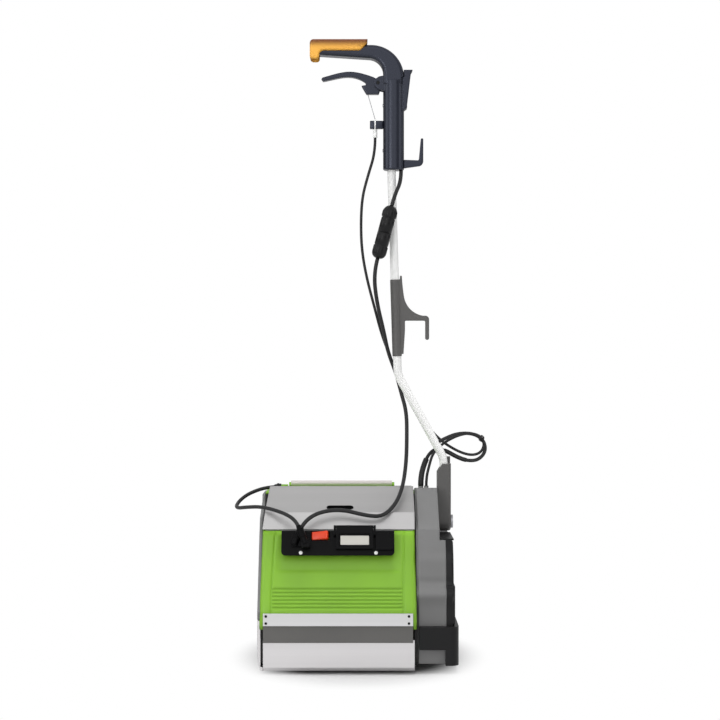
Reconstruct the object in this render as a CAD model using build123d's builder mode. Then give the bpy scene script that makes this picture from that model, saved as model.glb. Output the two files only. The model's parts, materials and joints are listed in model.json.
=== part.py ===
from build123d import *
import math
import os

os.makedirs("parts", exist_ok=True)

# Twin roller floor cleaning machine.
# X runs along the rollers with the gear casing at plus X, Y runs front to back with the front at minus Y.
# Z is up from the floor. All sizes are in millimetres.

# Clearances
run_gap = 0.05
fit_gap = 0.1
seat_gap = 0.3

# Room between the two side plates
room_left = -162.0
room_length = 258.0
plate = 4.0
end_cover = 5.7
room_right = room_left + room_length
plate_right = room_right + plate
outer_left = room_left - plate - seat_gap - end_cover

# Gears, all of one module, two planes along X
gear_module = 2.5
brush_teeth = 25
small_teeth = 24
drum_teeth = 36
idler_teeth = 26
pinion_teeth = 14
tooth_play = 0.3
addendum = 0.9
dedendum = 1.25
gear_width = 10.0
gear_step = 4.0

# Rollers
brush_r = 60.0
core_r = 22.0
core_wall = 4.0
bristle_rows = 20
end_play = 4.0
drum_gap = 2.9
pin_r = 6.0
shaft_r = 7.0
axle_r = 5.0
dog_flats = 14.0
dog_length = 11.0
bush_wall = 3.0

# Where the rollers and gears stand in Y and Z
brush_pitch_r = gear_module * brush_teeth / 2
brush_y = 3 * brush_pitch_r
brush_z = brush_r
idler_y = brush_pitch_r
drum_reach = gear_module * (small_teeth + drum_teeth) / 2
drum_z = brush_z + math.sqrt(drum_reach**2 - idler_y**2)
top_idler_z = drum_z + gear_module * (drum_teeth + idler_teeth) / 2
motor_z = top_idler_z + gear_module * (idler_teeth + pinion_teeth) / 2
drum_r = math.hypot(brush_y, drum_z - brush_z) - brush_r - drum_gap
motor_r = 38.0
motor_room = 1.3

# Side profile of the body, as distance from the middle and height
skin = 3.0
sheet = 1.5
bridge_half = 38.0
bridge_z = motor_z + motor_r + motor_room + skin
lid_rise = 11.5
rear_rise = 5.0
lid_top = (45.0, bridge_z + lid_rise)
rear_top = (lid_top[0], bridge_z + rear_rise)
lid_fold = (116.0, 270.0)
lid_low = (128.7, 241.0)
cover_top = (132.0, 234.0)
cover_low = (185.0, 106.0)
cover_rim = 239.0
flange_z = 88.0
tab_z = 77.0
tab_gap = 0.6

# Front foot of the body
skirt_t = 3.0
skirt_z = (55.0, 104.0)
strip_t = 3.0
strip_z = (84.0, 105.0)
panel_t = 4.0
panel_z = (6.0, 58.8)
panel_gap = 0.5

# Gear casing and its covers
casing_gap = 3.0
casing_wall = 3.0
casing_width = 48.0
neck_width = 38.0
side_depth = 13.0
belt_rise = 2.0
band_reach = 6.0
ledge_drop = 18.0
casing_low_z = 15.0
casing_left = plate_right + casing_gap
casing_right = casing_left + casing_width
neck_right = casing_left + neck_width
side_right = casing_right + side_depth
belt_right = side_right + belt_rise
outer_right = belt_right + band_reach
casing_exit = (casing_left + 10.5, casing_left + 20.5)
casing_tops = (306.5, 298.5)
casing_top = sum(casing_tops) / 2
ledge_z = lid_low[1] - ledge_drop
casing_profile = [
    (134.0, ledge_z),
    (151.0, 198.0),
    (158.0, 163.0),
    (159.0, 150.0),
    (170.0, 137.0),
    (171.0, 130.0),
    (165.0, 116.0),
]
casing_rounds = [0.0, 50.0, 40.0, 20.0, 10.0, 10.0, 30.0]
band_z = (41.0, 80.0)
belt_z = (band_z[1] + 0.5, 149.0)
band_low_z = 14.0

# Switch box on the front cover
recess_x = (-147.0, 79.0)
recess_z = (179.5, 195.0)
recess_depth = 10.0
box_x = (-132.0, 62.0)
box_z = (200.0, 241.0)
box_front = (163.0, 150.0)
rocker_x = -65.0
rocker_v = 13.0
rocker_w = 28.0
rocker_h = 14.0
rocker_tilt = 13.0
flap_x = (-38.0, 26.0)
flap_v = (-11.0, 27.0)
flap_t = 7.0
inlet_size = (30.0, 20.0, 15.0)
gland_x = (-110.0, -90.0)
gland_n = (6.0, 17.4)
gland_v = -4.0
gland_lean = 22.0
gland_length = 26.0
gland_r = 5.5

# Carry bar and the rear lid's hinge
bar_r = 5.0
bar_x = (-122.0, 61.0)
bar_rise = 13.0
bail_y = 30.0
bail_drop = 5.5
bail_pin_r = 3.0
hinge_out = 4.0
hinge_rise = -3.5
hinge_r = 1.6
bar_z = bridge_z + bar_rise
bail_z = bar_z - bail_drop
hinge_y = lid_top[0] + hinge_out
hinge_z = bridge_z + hinge_rise

# Handle
pivot_r = 8.0
arm_gap = 2.0
arm_width = 24.5
arm_half = 17.0
arm_clear = 2.0
arm_length = 105.0
socket_depth = 57.0
tube_r = 7.5
tube_wall = 1.5
tube_in = 12.0
tube_rise = 10.0
sleeve_wall = 1.1
hole_up = 30.0
tube_knee = (71.6, 508.3)
tube_bends = [45.0, 45.0, 200.0]
sleeve_low = 542.0
sleeve_length = 139.0
barrel_left = 45.0
barrel_w = 38.0
barrel_half = 17.0
barrel_length = 163.0
barrel_round = 16.0
barrel_foot = 3.0
barrel_bite = 111.0
split_in = 5.0
block_drop = 62.0
neck_half = 15.0
neck_reach = 127.0
neck_depth = 26.0
neck_tip = 14.5
neck_turn = 60.0
throat_turn = 27.0
elbow_drop = 63.5
grip_top = 1115.5
grip_depth = 21.4
grip_cap = 9.5
grip_wall = 2.5
grip_gap = 0.8
lever_out = 9.3
lever_drop = 5.0
lever_half = 6.0
cheek_t = 4.0
stop_out = 14.5
stop_rise = 75.5
stop_height = 14.5
adjuster_drop = 16.4
connector_drop = 67.5
adjuster_rise = 2.5
arm_x = (neck_right + arm_gap, neck_right + arm_gap + arm_width)
pivot_z = ledge_z + arm_half + arm_clear
arm_top = pivot_z + arm_length
tube_low_z = arm_top - socket_depth
neck_top = grip_top - grip_cap
neck_left = barrel_left - neck_reach
elbow_z = neck_top - elbow_drop
barrel_low = elbow_z - barrel_length
barrel_x = (barrel_left, barrel_left + barrel_w)
split_x = barrel_x[1] - split_in
grip_pin = (2.0, neck_top - 4.5)
grip_pin_bite = 1.5
lever_pivot = (barrel_left - lever_out, elbow_z - lever_drop)
stop_x = barrel_left - stop_out
stop_z = (barrel_low + stop_rise, barrel_low + stop_rise + stop_height)
adjuster_low = stop_z[0] - adjuster_drop
adjuster_top = stop_z[1] + adjuster_rise
tube_foot_x = arm_x[0] + tube_in
tube_top_x = barrel_left + 15.5
tube_points = [
    (tube_foot_x, tube_low_z),
    (tube_foot_x, arm_top + tube_rise),
    tube_knee,
    (tube_top_x, barrel_low - tube_in),
    (tube_top_x, barrel_low + barrel_bite),
]

# Leads
lead_d = 7.0
left_lead_d = 6.5
bowden_d = 5.0
wire_d = 1.2
tube_lead_d = 6.5


def cover_y(z):
    slope = (cover_low[0] - cover_top[0]) / (cover_top[1] - cover_low[1])
    return cover_top[0] + (cover_top[1] - z) * slope


def sheet_outline(line, thickness):
    # Closed outline of a folded sheet that lies on the left of a line.
    normals = []
    for a, b in zip(line, line[1:]):
        run = math.hypot(b[0] - a[0], b[1] - a[1])
        normals.append((-(b[1] - a[1]) / run, (b[0] - a[0]) / run))
    inner = []
    for i, p in enumerate(line):
        before = normals[max(i - 1, 0)]
        after = normals[min(i, len(normals) - 1)]
        share = 1 + before[0] * after[0] + before[1] * after[1]
        inner.append(
            (
                p[0] + thickness * (before[0] + after[0]) / share,
                p[1] + thickness * (before[1] + after[1]) / share,
            )
        )
    return line + inner[::-1]


def both_sides(half):
    # A half profile on plus Y, closed by its mirror on minus Y.
    return half + [(-y, z) for y, z in half[::-1]]


def mirrored(points):
    return [(-y, z) for y, z in points]


def gear_outline(teeth, phase):
    # Tooth outline of a spur gear about its own centre, with one tooth's middle at the phase angle.
    pitch_r = gear_module * teeth / 2
    base_r = pitch_r * math.cos(math.radians(20))
    tip_r = pitch_r + addendum * gear_module
    root_r = pitch_r - dedendum * gear_module
    flat_angle = math.tan(math.radians(20)) - math.radians(20)
    half = (math.pi * gear_module / 2 - tooth_play / 2) / (2 * pitch_r)
    low_r = max(base_r, root_r)
    radii = [low_r + (tip_r - low_r) * k / 3 for k in range(4)]
    flank = []
    for r in radii:
        turn = math.acos(min(1.0, base_r / r))
        flank.append((r, half + flat_angle - (math.tan(turn) - turn)))
    flank.insert(0, (root_r, flank[0][1] + (0.0 if root_r < base_r else 0.01)))
    points = []
    for k in range(teeth):
        middle = phase + 2 * math.pi * k / teeth
        for r, a in flank:
            points.append((r * math.cos(middle - a), r * math.sin(middle - a)))
        for r, a in flank[::-1]:
            points.append((r * math.cos(middle + a), r * math.sin(middle + a)))
    return points


def meshed_phase(teeth, phase, centre, next_teeth, next_centre):
    # Phase of the next gear so that its gap meets the first gear's tooth.
    line = math.atan2(next_centre[1] - centre[1], next_centre[0] - centre[0])
    half_pitch = math.pi / next_teeth
    return line + math.pi + half_pitch - (phase - line) * teeth / next_teeth


def moved(points, centre):
    return [(y + centre[0], z + centre[1]) for y, z in points]


def bend_radii(points):
    # Radius of each bend of a cord, from its shorter neighbouring run.
    radii = []
    for a, b, c in zip(points, points[1:], points[2:]):
        u = (Vector(*b) - Vector(*a)).normalized()
        v = (Vector(*c) - Vector(*b)).normalized()
        turn = math.acos(max(-1.0, min(1.0, u.dot(v))))
        run = min((Vector(*b) - Vector(*a)).length, (Vector(*c) - Vector(*b)).length)
        radii.append(0.45 * run / math.tan(turn / 2))
    return radii


def tell_cord(name, line, part, radii, diameter):
    section = math.pi * diameter**2 / 4
    length = sum(edge.length for edge in line.edges())
    share = part.volume / (section * length)
    print(name, "length", round(length, 1), "volume share", round(share, 4))
    print("  bends", [round(r) for r in radii])


# Phases of the meshed gears
front_centre = (-brush_y, brush_z)
compound_centre = (-idler_y, brush_z)
idler_centre = (idler_y, brush_z)
rear_centre = (brush_y, brush_z)
drum_centre = (0.0, drum_z)
top_idler_centre = (0.0, top_idler_z)
motor_centre = (0.0, motor_z)
front_phase = 0.0
compound_phase = meshed_phase(brush_teeth, front_phase, front_centre, brush_teeth, compound_centre)
idler_phase = meshed_phase(brush_teeth, compound_phase, compound_centre, brush_teeth, idler_centre)
rear_phase = meshed_phase(brush_teeth, idler_phase, idler_centre, brush_teeth, rear_centre)
small_phase = 0.0
drum_phase = meshed_phase(small_teeth, small_phase, compound_centre, drum_teeth, drum_centre)
top_idler_phase = meshed_phase(drum_teeth, drum_phase, drum_centre, idler_teeth, top_idler_centre)
pinion_phase = meshed_phase(idler_teeth, top_idler_phase, top_idler_centre, pinion_teeth, motor_centre)

# Planes of the two rows of gears along X
row_one = plate_right + gear_step
row_two = row_one + gear_width + gear_step
axle_end = row_two + gear_width + 3.0

# Face of the switch box: v runs up the face, n stands out of it
face_run = math.hypot(box_front[0] - box_front[1], box_z[1] - box_z[0])
face_up = Vector(0, (box_front[0] - box_front[1]) / face_run, (box_z[1] - box_z[0]) / face_run)
face_out = Vector(0, -face_up.Z, face_up.Y)
face_mid = Vector(0, -(box_front[0] + box_front[1]) / 2, (box_z[0] + box_z[1]) / 2)


def on_face(x, v, n):
    return Vector(x, 0, 0) + face_mid + face_up * v + face_out * n


def face_plane(x, v, n):
    return Plane(origin=on_face(x, v, n), x_dir=(1, 0, 0), z_dir=face_out)


def up_plane(x, v, n):
    # Plane across the face, looking up it, with X to the right.
    return Plane(origin=on_face(x, v, n), x_dir=(1, 0, 0), z_dir=face_up)


def side_plane(x, v, n):
    # Plane across X, with v and n as its own two axes.
    return Plane(origin=on_face(x, v, n), x_dir=face_up, z_dir=(1, 0, 0))


# Outline of the two side plates
plate_inset = skin + 5.0
plate_half = [
    (cover_low[0] - plate_inset - 5.0, 14.0),
    (cover_low[0] - plate_inset, 20.0),
    (cover_low[0] - plate_inset, cover_low[1]),
    (cover_top[0] - plate_inset, cover_top[1] - 4.0),
    (lid_fold[0] - 10.0, lid_fold[1] - 10.0),
    (bridge_half + 2.0, bridge_z - skin - 12.0),
    (bridge_half - 1.0, bridge_z - skin),
]
plate_outline = both_sides(plate_half)

# Left side plate with the rollers' three pins
with BuildPart() as left_side_plate:
    with BuildSketch(Plane.YZ.offset(room_left - plate)):
        with BuildLine():
            Polyline(*plate_outline, close=True)
        make_face()
    extrude(amount=plate)
    with BuildSketch(Plane.YZ.offset(room_left)):
        with Locations(front_centre, rear_centre, drum_centre):
            Circle(pin_r)
    extrude(amount=end_play + 10.0)
left_side_plate.part.label = "left_side_plate"
export_step(left_side_plate.part, "parts/left_side_plate.step")

# Grey cover outside the left plate
end_half = [(cover_low[0] - 5.0, 92.0), (cover_low[0] - 5.0, cover_low[1])] + plate_half[3:]
with BuildPart() as left_end_cover:
    with BuildSketch(Plane.YZ.offset(outer_left)):
        with BuildLine():
            Polyline(*both_sides(end_half), close=True)
        make_face()
    extrude(amount=room_left - plate - seat_gap - outer_left)
    fillet(left_end_cover.faces().sort_by(Axis.X)[0].edges(), 2.0)
left_end_cover.part.label = "left_end_cover"
export_step(left_end_cover.part, "parts/left_end_cover.step")

# Pale lower guard of the left end
guard_inner = room_left - plate - seat_gap
guard_top = flange_z + 3.0
with BuildPart() as left_end_guard:
    with BuildSketch(Plane.XZ.offset(-cover_low[0] + 7.0)):
        with BuildLine():
            Polyline(
                (guard_inner, guard_top),
                (outer_left, guard_top),
                (outer_left, 46.0),
                (outer_left + 1.0, 28.0),
                (outer_left + 2.7, 14.0),
                (outer_left + 5.5, 6.0),
                (room_left - 0.4, 5.0),
                (room_left - 0.4, 11.5),
                (guard_inner, 12.5),
                close=True,
            )
        make_face()
    extrude(amount=2 * (cover_low[0] - 7.0))
left_end_guard.part.label = "left_end_guard"
export_step(left_end_guard.part, "parts/left_end_guard.step")

# Right side plate with the idlers' fixed axles
with BuildPart() as right_side_plate:
    with BuildSketch(Plane.YZ.offset(room_right)):
        with BuildLine():
            Polyline(*plate_outline, close=True)
        make_face()
        with Locations(front_centre, rear_centre, drum_centre):
            Circle(shaft_r + bush_wall + 0.02, mode=Mode.SUBTRACT)
        with Locations(motor_centre):
            Circle(axle_r + 2.0, mode=Mode.SUBTRACT)
    extrude(amount=plate)
    with BuildSketch(Plane.YZ.offset(plate_right)):
        with Locations(compound_centre, idler_centre, top_idler_centre):
            Circle(axle_r)
    extrude(amount=axle_end - plate_right)
right_side_plate.part.label = "right_side_plate"
export_step(right_side_plate.part, "parts/right_side_plate.step")

# Flanged bushes of the three driven shafts
with BuildPart() as shaft_bushes:
    with BuildSketch(Plane.YZ.offset(room_right - 2.8)):
        with Locations(front_centre, rear_centre, drum_centre):
            Circle(shaft_r + bush_wall + 3.0)
            Circle(shaft_r + run_gap, mode=Mode.SUBTRACT)
    extrude(amount=2.8)
    with BuildSketch(Plane.YZ.offset(room_right)):
        with Locations(front_centre, rear_centre, drum_centre):
            Circle(shaft_r + bush_wall)
            Circle(shaft_r + run_gap, mode=Mode.SUBTRACT)
    extrude(amount=plate)
shaft_bushes.part.label = "shaft_bushes"
export_step(shaft_bushes.part, "parts/shaft_bushes.step")

# Grey gear casing, a narrow neck above a wider foot
casing_half = [(casing_profile[-1][0], casing_low_z)] + casing_profile[::-1]
casing_half_rounds = [0.0] + casing_rounds[::-1]
casing_all_rounds = casing_half_rounds + casing_half_rounds[::-1]
neck_foot = [(casing_profile[0][0], ledge_z), lid_low]
neck_front = mirrored(neck_foot + [(lid_top[0], casing_tops[0])])
neck_rear = neck_foot + [(lid_top[0], casing_tops[1])]
neck_outline = neck_rear + neck_front[::-1]
whole_outline = casing_half[:-1] + neck_outline + mirrored(casing_half[:-1])[::-1]
with BuildPart() as gear_casing:
    with BuildSketch(Plane.YZ.offset(casing_left)):
        with BuildLine():
            FilletPolyline(*both_sides(casing_half), radius=casing_all_rounds, close=True)
        make_face()
    extrude(amount=casing_right - casing_left)
    with BuildSketch(Plane.YZ.offset(casing_left)):
        with BuildLine():
            Polyline(*neck_outline, close=True)
        make_face()
    extrude(amount=neck_right - casing_left)
    with BuildSketch(Plane.YZ.offset(plate_right + 0.2)):
        with BuildLine():
            Polyline(*whole_outline, close=True)
        make_face()
        offset(amount=-casing_wall, mode=Mode.REPLACE)
    extrude(amount=casing_left - plate_right)
    with BuildSketch(Plane.YZ.offset(casing_left - 4.0)):
        with BuildLine():
            Polyline(*whole_outline, close=True)
        make_face()
        offset(amount=-2 * casing_wall, mode=Mode.REPLACE)
    extrude(amount=neck_right - casing_wall - casing_left + 4.0, mode=Mode.SUBTRACT)
    with BuildSketch(Plane.YZ.offset(casing_left + casing_wall)):
        with BuildLine():
            Polyline(*both_sides(casing_half), close=True)
        make_face()
        offset(amount=-casing_wall, mode=Mode.REPLACE)
    extrude(amount=casing_right - casing_left - 2 * casing_wall, mode=Mode.SUBTRACT)
    with BuildSketch(Plane.YZ.offset(neck_right)):
        with Locations((0, pivot_z)):
            Circle(pivot_r + 5.0)
    extrude(amount=arm_x[0] - neck_right - fit_gap)
    with BuildSketch(Plane.YZ.offset(neck_right - casing_wall)):
        with Locations((0, pivot_z)):
            Circle(pivot_r + 0.2)
    extrude(amount=arm_x[0] - neck_right + casing_wall, mode=Mode.SUBTRACT)
    with BuildSketch(Plane.XY.offset(casing_top - 2.0)):
        with Locations((casing_exit[0], 0)):
            Circle(tube_lead_d / 2 + 1.5)
        with Locations((casing_exit[1], 0)):
            Circle(bowden_d / 2 + 1.5)
    extrude(amount=6.0)
gear_casing.part.label = "gear_casing"
export_step(gear_casing.part, "parts/gear_casing.step")

# Black outer cover of the casing
with BuildPart() as side_cover:
    with BuildSketch(Plane.YZ.offset(casing_right + seat_gap)):
        with BuildLine():
            FilletPolyline(*both_sides(casing_half), radius=casing_all_rounds, close=True)
        make_face()
    extrude(amount=side_right - casing_right - seat_gap)
    chamfer(side_cover.faces().sort_by(Axis.X)[-1].edges(), 3.0)
    with BuildSketch(Plane.YZ.offset(casing_right + seat_gap)):
        with Locations((0, (belt_z[0] + belt_z[1]) / 2)):
            RectangleRounded(2 * casing_profile[-1][0], belt_z[1] - belt_z[0], 4.0)
    extrude(amount=belt_right - casing_right - seat_gap)
    chamfer(side_cover.faces().sort_by(Axis.X)[-1].edges(), belt_rise - 0.2)
    with BuildSketch(Plane.YZ.offset(casing_right)):
        with BuildLine():
            Polyline(*both_sides(casing_half), close=True)
        make_face()
        offset(amount=-4.0, mode=Mode.REPLACE)
    extrude(amount=side_right - casing_right - 4.0, mode=Mode.SUBTRACT)
side_cover.part.label = "side_cover"
export_step(side_cover.part, "parts/side_cover.step")

# Black band round the casing's foot
band_inner = casing_profile[-1][0] + 0.4
band_outer = band_inner + 12.6
with BuildPart() as bumper_band:
    with BuildSketch(Plane.XY.offset(band_low_z)) as band_plan:
        with BuildLine():
            Polyline(
                (casing_left + 1.0, -band_outer),
                (outer_right, -band_outer),
                (outer_right, band_outer),
                (casing_left + 1.0, band_outer),
                (casing_left + 1.0, band_inner),
                (side_right + seat_gap, band_inner),
                (side_right + seat_gap, -band_inner),
                (casing_left + 1.0, -band_inner),
                close=True,
            )
        make_face()
        fillet(band_plan.vertices().sort_by(Axis.X)[-2:], 14.0)
    extrude(amount=band_z[1] - band_low_z)
    with BuildSketch(Plane.XY.offset(band_low_z)):
        with Locations((casing_left, 0)):
            Rectangle(
                2 * (casing_right - 2.0 - casing_left), 3 * band_outer, align=(Align.CENTER, Align.CENTER)
            )
    extrude(amount=band_z[0] - band_low_z, mode=Mode.SUBTRACT)
bumper_band.part.label = "bumper_band"
export_step(bumper_band.part, "parts/bumper_band.step")

# Green front cover with the switch recess, the ribs, the seams and a tab beside each end of the strip
front_line = [(-cover_y(cover_rim), cover_rim), (-cover_low[0], cover_low[1]), (-cover_low[0], flange_z)]
recess_floor = [
    (-cover_y(cover_top[1]) + recess_depth, cover_top[1]),
    (-cover_y(recess_z[1]) + recess_depth, recess_z[1]),
    (-cover_y(recess_z[0]), recess_z[0]),
]
recess_cut = [
    (-cover_y(cover_top[1] + 6.0) - 3.0, cover_top[1] + 6.0),
    (-cover_y(recess_z[0]) - 0.01, recess_z[0]),
    recess_floor[1],
    (recess_floor[0][0], cover_top[1] + 6.0),
]
cheek = [
    front_line[0],
    (-cover_y(recess_z[0] - 2.0), recess_z[0] - 2.0),
    (-cover_y(recess_z[0] - 2.0) + 5.0, recess_z[0] - 2.0),
    (recess_floor[1][0] + skin, recess_z[1] - 2.0),
    (recess_floor[0][0] + skin, cover_top[1]),
]
rib_z = [142.9 - 6.0 * k for k in range(6)]
cover_left = [
    (outer_left - 8.0, 240.0),
    (room_left - plate, 240.0),
    (room_left - plate - 2.7, 80.0),
    (outer_left - 8.0, 80.0),
]
cover_right = [
    (outer_right, 240.0),
    (plate_right - 2.0, 240.0),
    (plate_right, 80.0),
    (outer_right, 80.0),
]
foot_x = (room_left + 0.4, room_right - 3.0)
tab_x = [
    (cover_left[2][0] + 0.3, foot_x[0] - tab_gap),
    (foot_x[1] + tab_gap, cover_right[2][0] - 0.3),
]
with BuildPart() as front_cover:
    with BuildSketch(Plane.YZ.offset(outer_left)):
        with BuildLine():
            Polyline(*sheet_outline(front_line, skin), close=True)
        make_face()
    extrude(amount=plate_right + 2.0 - outer_left)
    with BuildSketch(Plane.YZ.offset(recess_x[0])):
        with BuildLine():
            Polyline(*recess_cut, close=True)
        make_face()
    extrude(amount=recess_x[1] - recess_x[0], mode=Mode.SUBTRACT)
    with BuildSketch(Plane.YZ.offset(recess_x[0] - skin)):
        with BuildLine():
            Polyline(*sheet_outline(recess_floor, skin), close=True)
        make_face()
    extrude(amount=recess_x[1] - recess_x[0] + 2 * skin)
    with BuildSketch(Plane.YZ.offset(recess_x[0] - skin), Plane.YZ.offset(recess_x[1])):
        with BuildLine():
            Polyline(*cheek, close=True)
        make_face()
    extrude(amount=skin)
    for z in rib_z:
        with BuildSketch(Plane.YZ.offset(recess_x[0])):
            with BuildLine():
                Polyline(
                    (-cover_y(z + 1.0) - 1.0, z + 1.0),
                    (-cover_y(z - 1.0) - 1.0, z - 1.0),
                    (-cover_y(z - 1.0) + 1.3, z - 1.0),
                    (-cover_y(z + 1.0) + 1.3, z + 1.0),
                    close=True,
                )
            make_face()
        extrude(amount=recess_x[1] - recess_x[0], mode=Mode.SUBTRACT)
    with BuildSketch(Plane.YZ.offset(recess_x[0] - 0.6), Plane.YZ.offset(recess_x[1] - 0.6)):
        with BuildLine():
            Polyline(
                (-cover_y(recess_z[0]) - 1.0, recess_z[0]),
                (-cover_low[0] - 1.0, cover_low[1]),
                (-cover_low[0] + 0.8, cover_low[1]),
                (-cover_y(recess_z[0]) + 0.8, recess_z[0]),
                close=True,
            )
        make_face()
    extrude(amount=1.2, mode=Mode.SUBTRACT)
    with BuildSketch(Plane.XZ):
        with BuildLine():
            Polyline(*cover_left, close=True)
        make_face()
        with BuildLine():
            Polyline(*cover_right, close=True)
        make_face()
    extrude(amount=300.0, both=True, mode=Mode.SUBTRACT)
    for left, right in tab_x:
        with Locations(((left + right) / 2, -(cover_low[0] - skin / 2), (tab_z + flange_z + 2.0) / 2)):
            Box(right - left, skin, flange_z + 2.0 - tab_z)
front_cover.part.label = "front_cover"
export_step(front_cover.part, "parts/front_cover.step")

# Green rear cover with the same ribs and tabs
with BuildPart() as rear_cover:
    with BuildSketch(Plane.YZ.offset(outer_left)):
        with BuildLine():
            Polyline(*mirrored(sheet_outline(front_line, skin)), close=True)
        make_face()
    extrude(amount=plate_right + 2.0 - outer_left)
    for z in rib_z:
        with BuildSketch(Plane.YZ.offset(recess_x[0])):
            with BuildLine():
                Polyline(
                    (cover_y(z + 1.0) + 1.0, z + 1.0),
                    (cover_y(z - 1.0) + 1.0, z - 1.0),
                    (cover_y(z - 1.0) - 1.3, z - 1.0),
                    (cover_y(z + 1.0) - 1.3, z + 1.0),
                    close=True,
                )
            make_face()
        extrude(amount=recess_x[1] - recess_x[0], mode=Mode.SUBTRACT)
    with BuildSketch(Plane.XZ):
        with BuildLine():
            Polyline(*cover_left, close=True)
        make_face()
        with BuildLine():
            Polyline(*cover_right, close=True)
        make_face()
    extrude(amount=300.0, both=True, mode=Mode.SUBTRACT)
    for left, right in tab_x:
        with Locations(((left + right) / 2, (cover_low[0] - skin / 2), (tab_z + flange_z + 2.0) / 2)):
            Box(right - left, skin, flange_z + 2.0 - tab_z)
rear_cover.part.label = "rear_cover"
export_step(rear_cover.part, "parts/rear_cover.step")

# Rubber skirts, and the metal strips that hold them on the covers
skirt_y = cover_low[0] + skirt_t / 2
with BuildPart() as skirts:
    for side in (-1, 1):
        with Locations((sum(foot_x) / 2, side * skirt_y, sum(skirt_z) / 2)):
            Box(foot_x[1] - foot_x[0], skirt_t, skirt_z[1] - skirt_z[0])
skirts.part.label = "skirts"
export_step(skirts.part, "parts/skirts.step")

strip_y = cover_low[0] + skirt_t + strip_t / 2
with BuildPart() as clamp_strips:
    for side in (-1, 1):
        with Locations(((foot_x[0] + foot_x[1]) / 2, side * strip_y, sum(strip_z) / 2)):
            Box(foot_x[1] - foot_x[0], strip_t, strip_z[1] - strip_z[0])
clamp_strips.part.label = "clamp_strips"
export_step(clamp_strips.part, "parts/clamp_strips.step")

# Pale lower panels with a turned-in foot and end returns
panel_front = cover_low[0] - panel_gap
panel_line = [
    (-panel_front, panel_z[1]),
    (-panel_front, panel_z[0] + 6.0),
    (-panel_front + 6.0, panel_z[0]),
    (-panel_front + 12.0, panel_z[0]),
]
with BuildPart() as splash_panels:
    with BuildSketch(Plane.YZ.offset(room_left)):
        with BuildLine():
            Polyline(*sheet_outline(panel_line, panel_t), close=True)
        make_face()
        with BuildLine():
            Polyline(*mirrored(sheet_outline(panel_line, panel_t)), close=True)
        make_face()
    extrude(amount=room_right - room_left)
    with BuildSketch(Plane.YZ.offset(room_left), Plane.YZ.offset(room_right - 3.0)):
        with Locations((-panel_front + panel_t + 15.0, 38.0), (panel_front - panel_t - 15.0, 38.0)):
            Rectangle(31.0, 36.0)
    extrude(amount=3.0)
splash_panels.part.label = "splash_panels"
export_step(splash_panels.part, "parts/splash_panels.step")

# Screw heads on the strips and on the switch box
screw_x = (foot_x[0] + 5.0, foot_x[1] - 7.0)
screw_z = (strip_z[0] + 4.5, strip_z[1] - 4.5)
with BuildPart() as panel_screws:
    for side in (-1, 1):
        for x in screw_x:
            for z in screw_z:
                head_at = (x, side * (strip_y + strip_t / 2), z)
                with BuildSketch(Plane(origin=head_at, z_dir=(0, side, 0))):
                    Circle(2.5)
                extrude(amount=1.4)
    for x in (-98.5, 30.5):
        with BuildSketch(face_plane(x, -16.7, 0)):
            Circle(3.4)
        extrude(amount=1.4)
panel_screws.part.label = "panel_screws"
export_step(panel_screws.part, "parts/panel_screws.step")

# Bright folded cover over the fresh-water tank
lid_line = [(-lid_top[0], lid_top[1]), (-lid_fold[0], lid_fold[1]), (-lid_low[0], lid_low[1])]
lid_back = (-bridge_half - 1.0, lid_top[1] - 2.5)
lid_left = [(outer_left - 8.0, 320.0), (-156.5, 320.0), (-167.0, 236.0), (outer_left - 8.0, 236.0)]
lid_span = (outer_left, room_right + 2.0)
slot_x = -32.0
slot_size = (47.0, 12.0)
fold_run = math.hypot(lid_fold[0] - lid_top[0], lid_top[1] - lid_fold[1])
slope_up = Vector(0, (lid_fold[0] - lid_top[0]) / fold_run, (lid_top[1] - lid_fold[1]) / fold_run)
slope_out = Vector(0, -slope_up.Z, slope_up.Y)
slot_at = Vector(slot_x, -lid_fold[0], lid_fold[1]) + slope_up * 14.0
with BuildPart() as front_top_cover:
    with BuildSketch(Plane.YZ.offset(lid_span[0])):
        with BuildLine():
            Polyline(*sheet_outline([lid_back] + lid_line, sheet), close=True)
        make_face()
    extrude(amount=lid_span[1] - lid_span[0])
    with BuildSketch(Plane.XZ):
        with BuildLine():
            Polyline(*lid_left, close=True)
        make_face()
    extrude(amount=300.0, both=True, mode=Mode.SUBTRACT)
    with BuildSketch(Plane(origin=slot_at, x_dir=(1, 0, 0), z_dir=slope_out)):
        SlotOverall(slot_size[0] + 2 * fit_gap, slot_size[1] + 2 * fit_gap)
    extrude(amount=5.0, both=True, mode=Mode.SUBTRACT)
front_top_cover.part.label = "front_top_cover"
export_step(front_top_cover.part, "parts/front_top_cover.step")

# Black slot insert in that cover
with BuildPart() as finger_slot:
    with BuildSketch(Plane(origin=slot_at - slope_out * 6.0, x_dir=(1, 0, 0), z_dir=slope_out)):
        SlotOverall(slot_size[0], slot_size[1])
    extrude(amount=6.3)
    with BuildSketch(Plane(origin=slot_at - slope_out * 4.5, x_dir=(1, 0, 0), z_dir=slope_out)):
        SlotOverall(slot_size[0] - 2.4, slot_size[1] - 2.4)
    extrude(amount=6.0, mode=Mode.SUBTRACT)
finger_slot.part.label = "finger_slot"
export_step(finger_slot.part, "parts/finger_slot.step")

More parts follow.
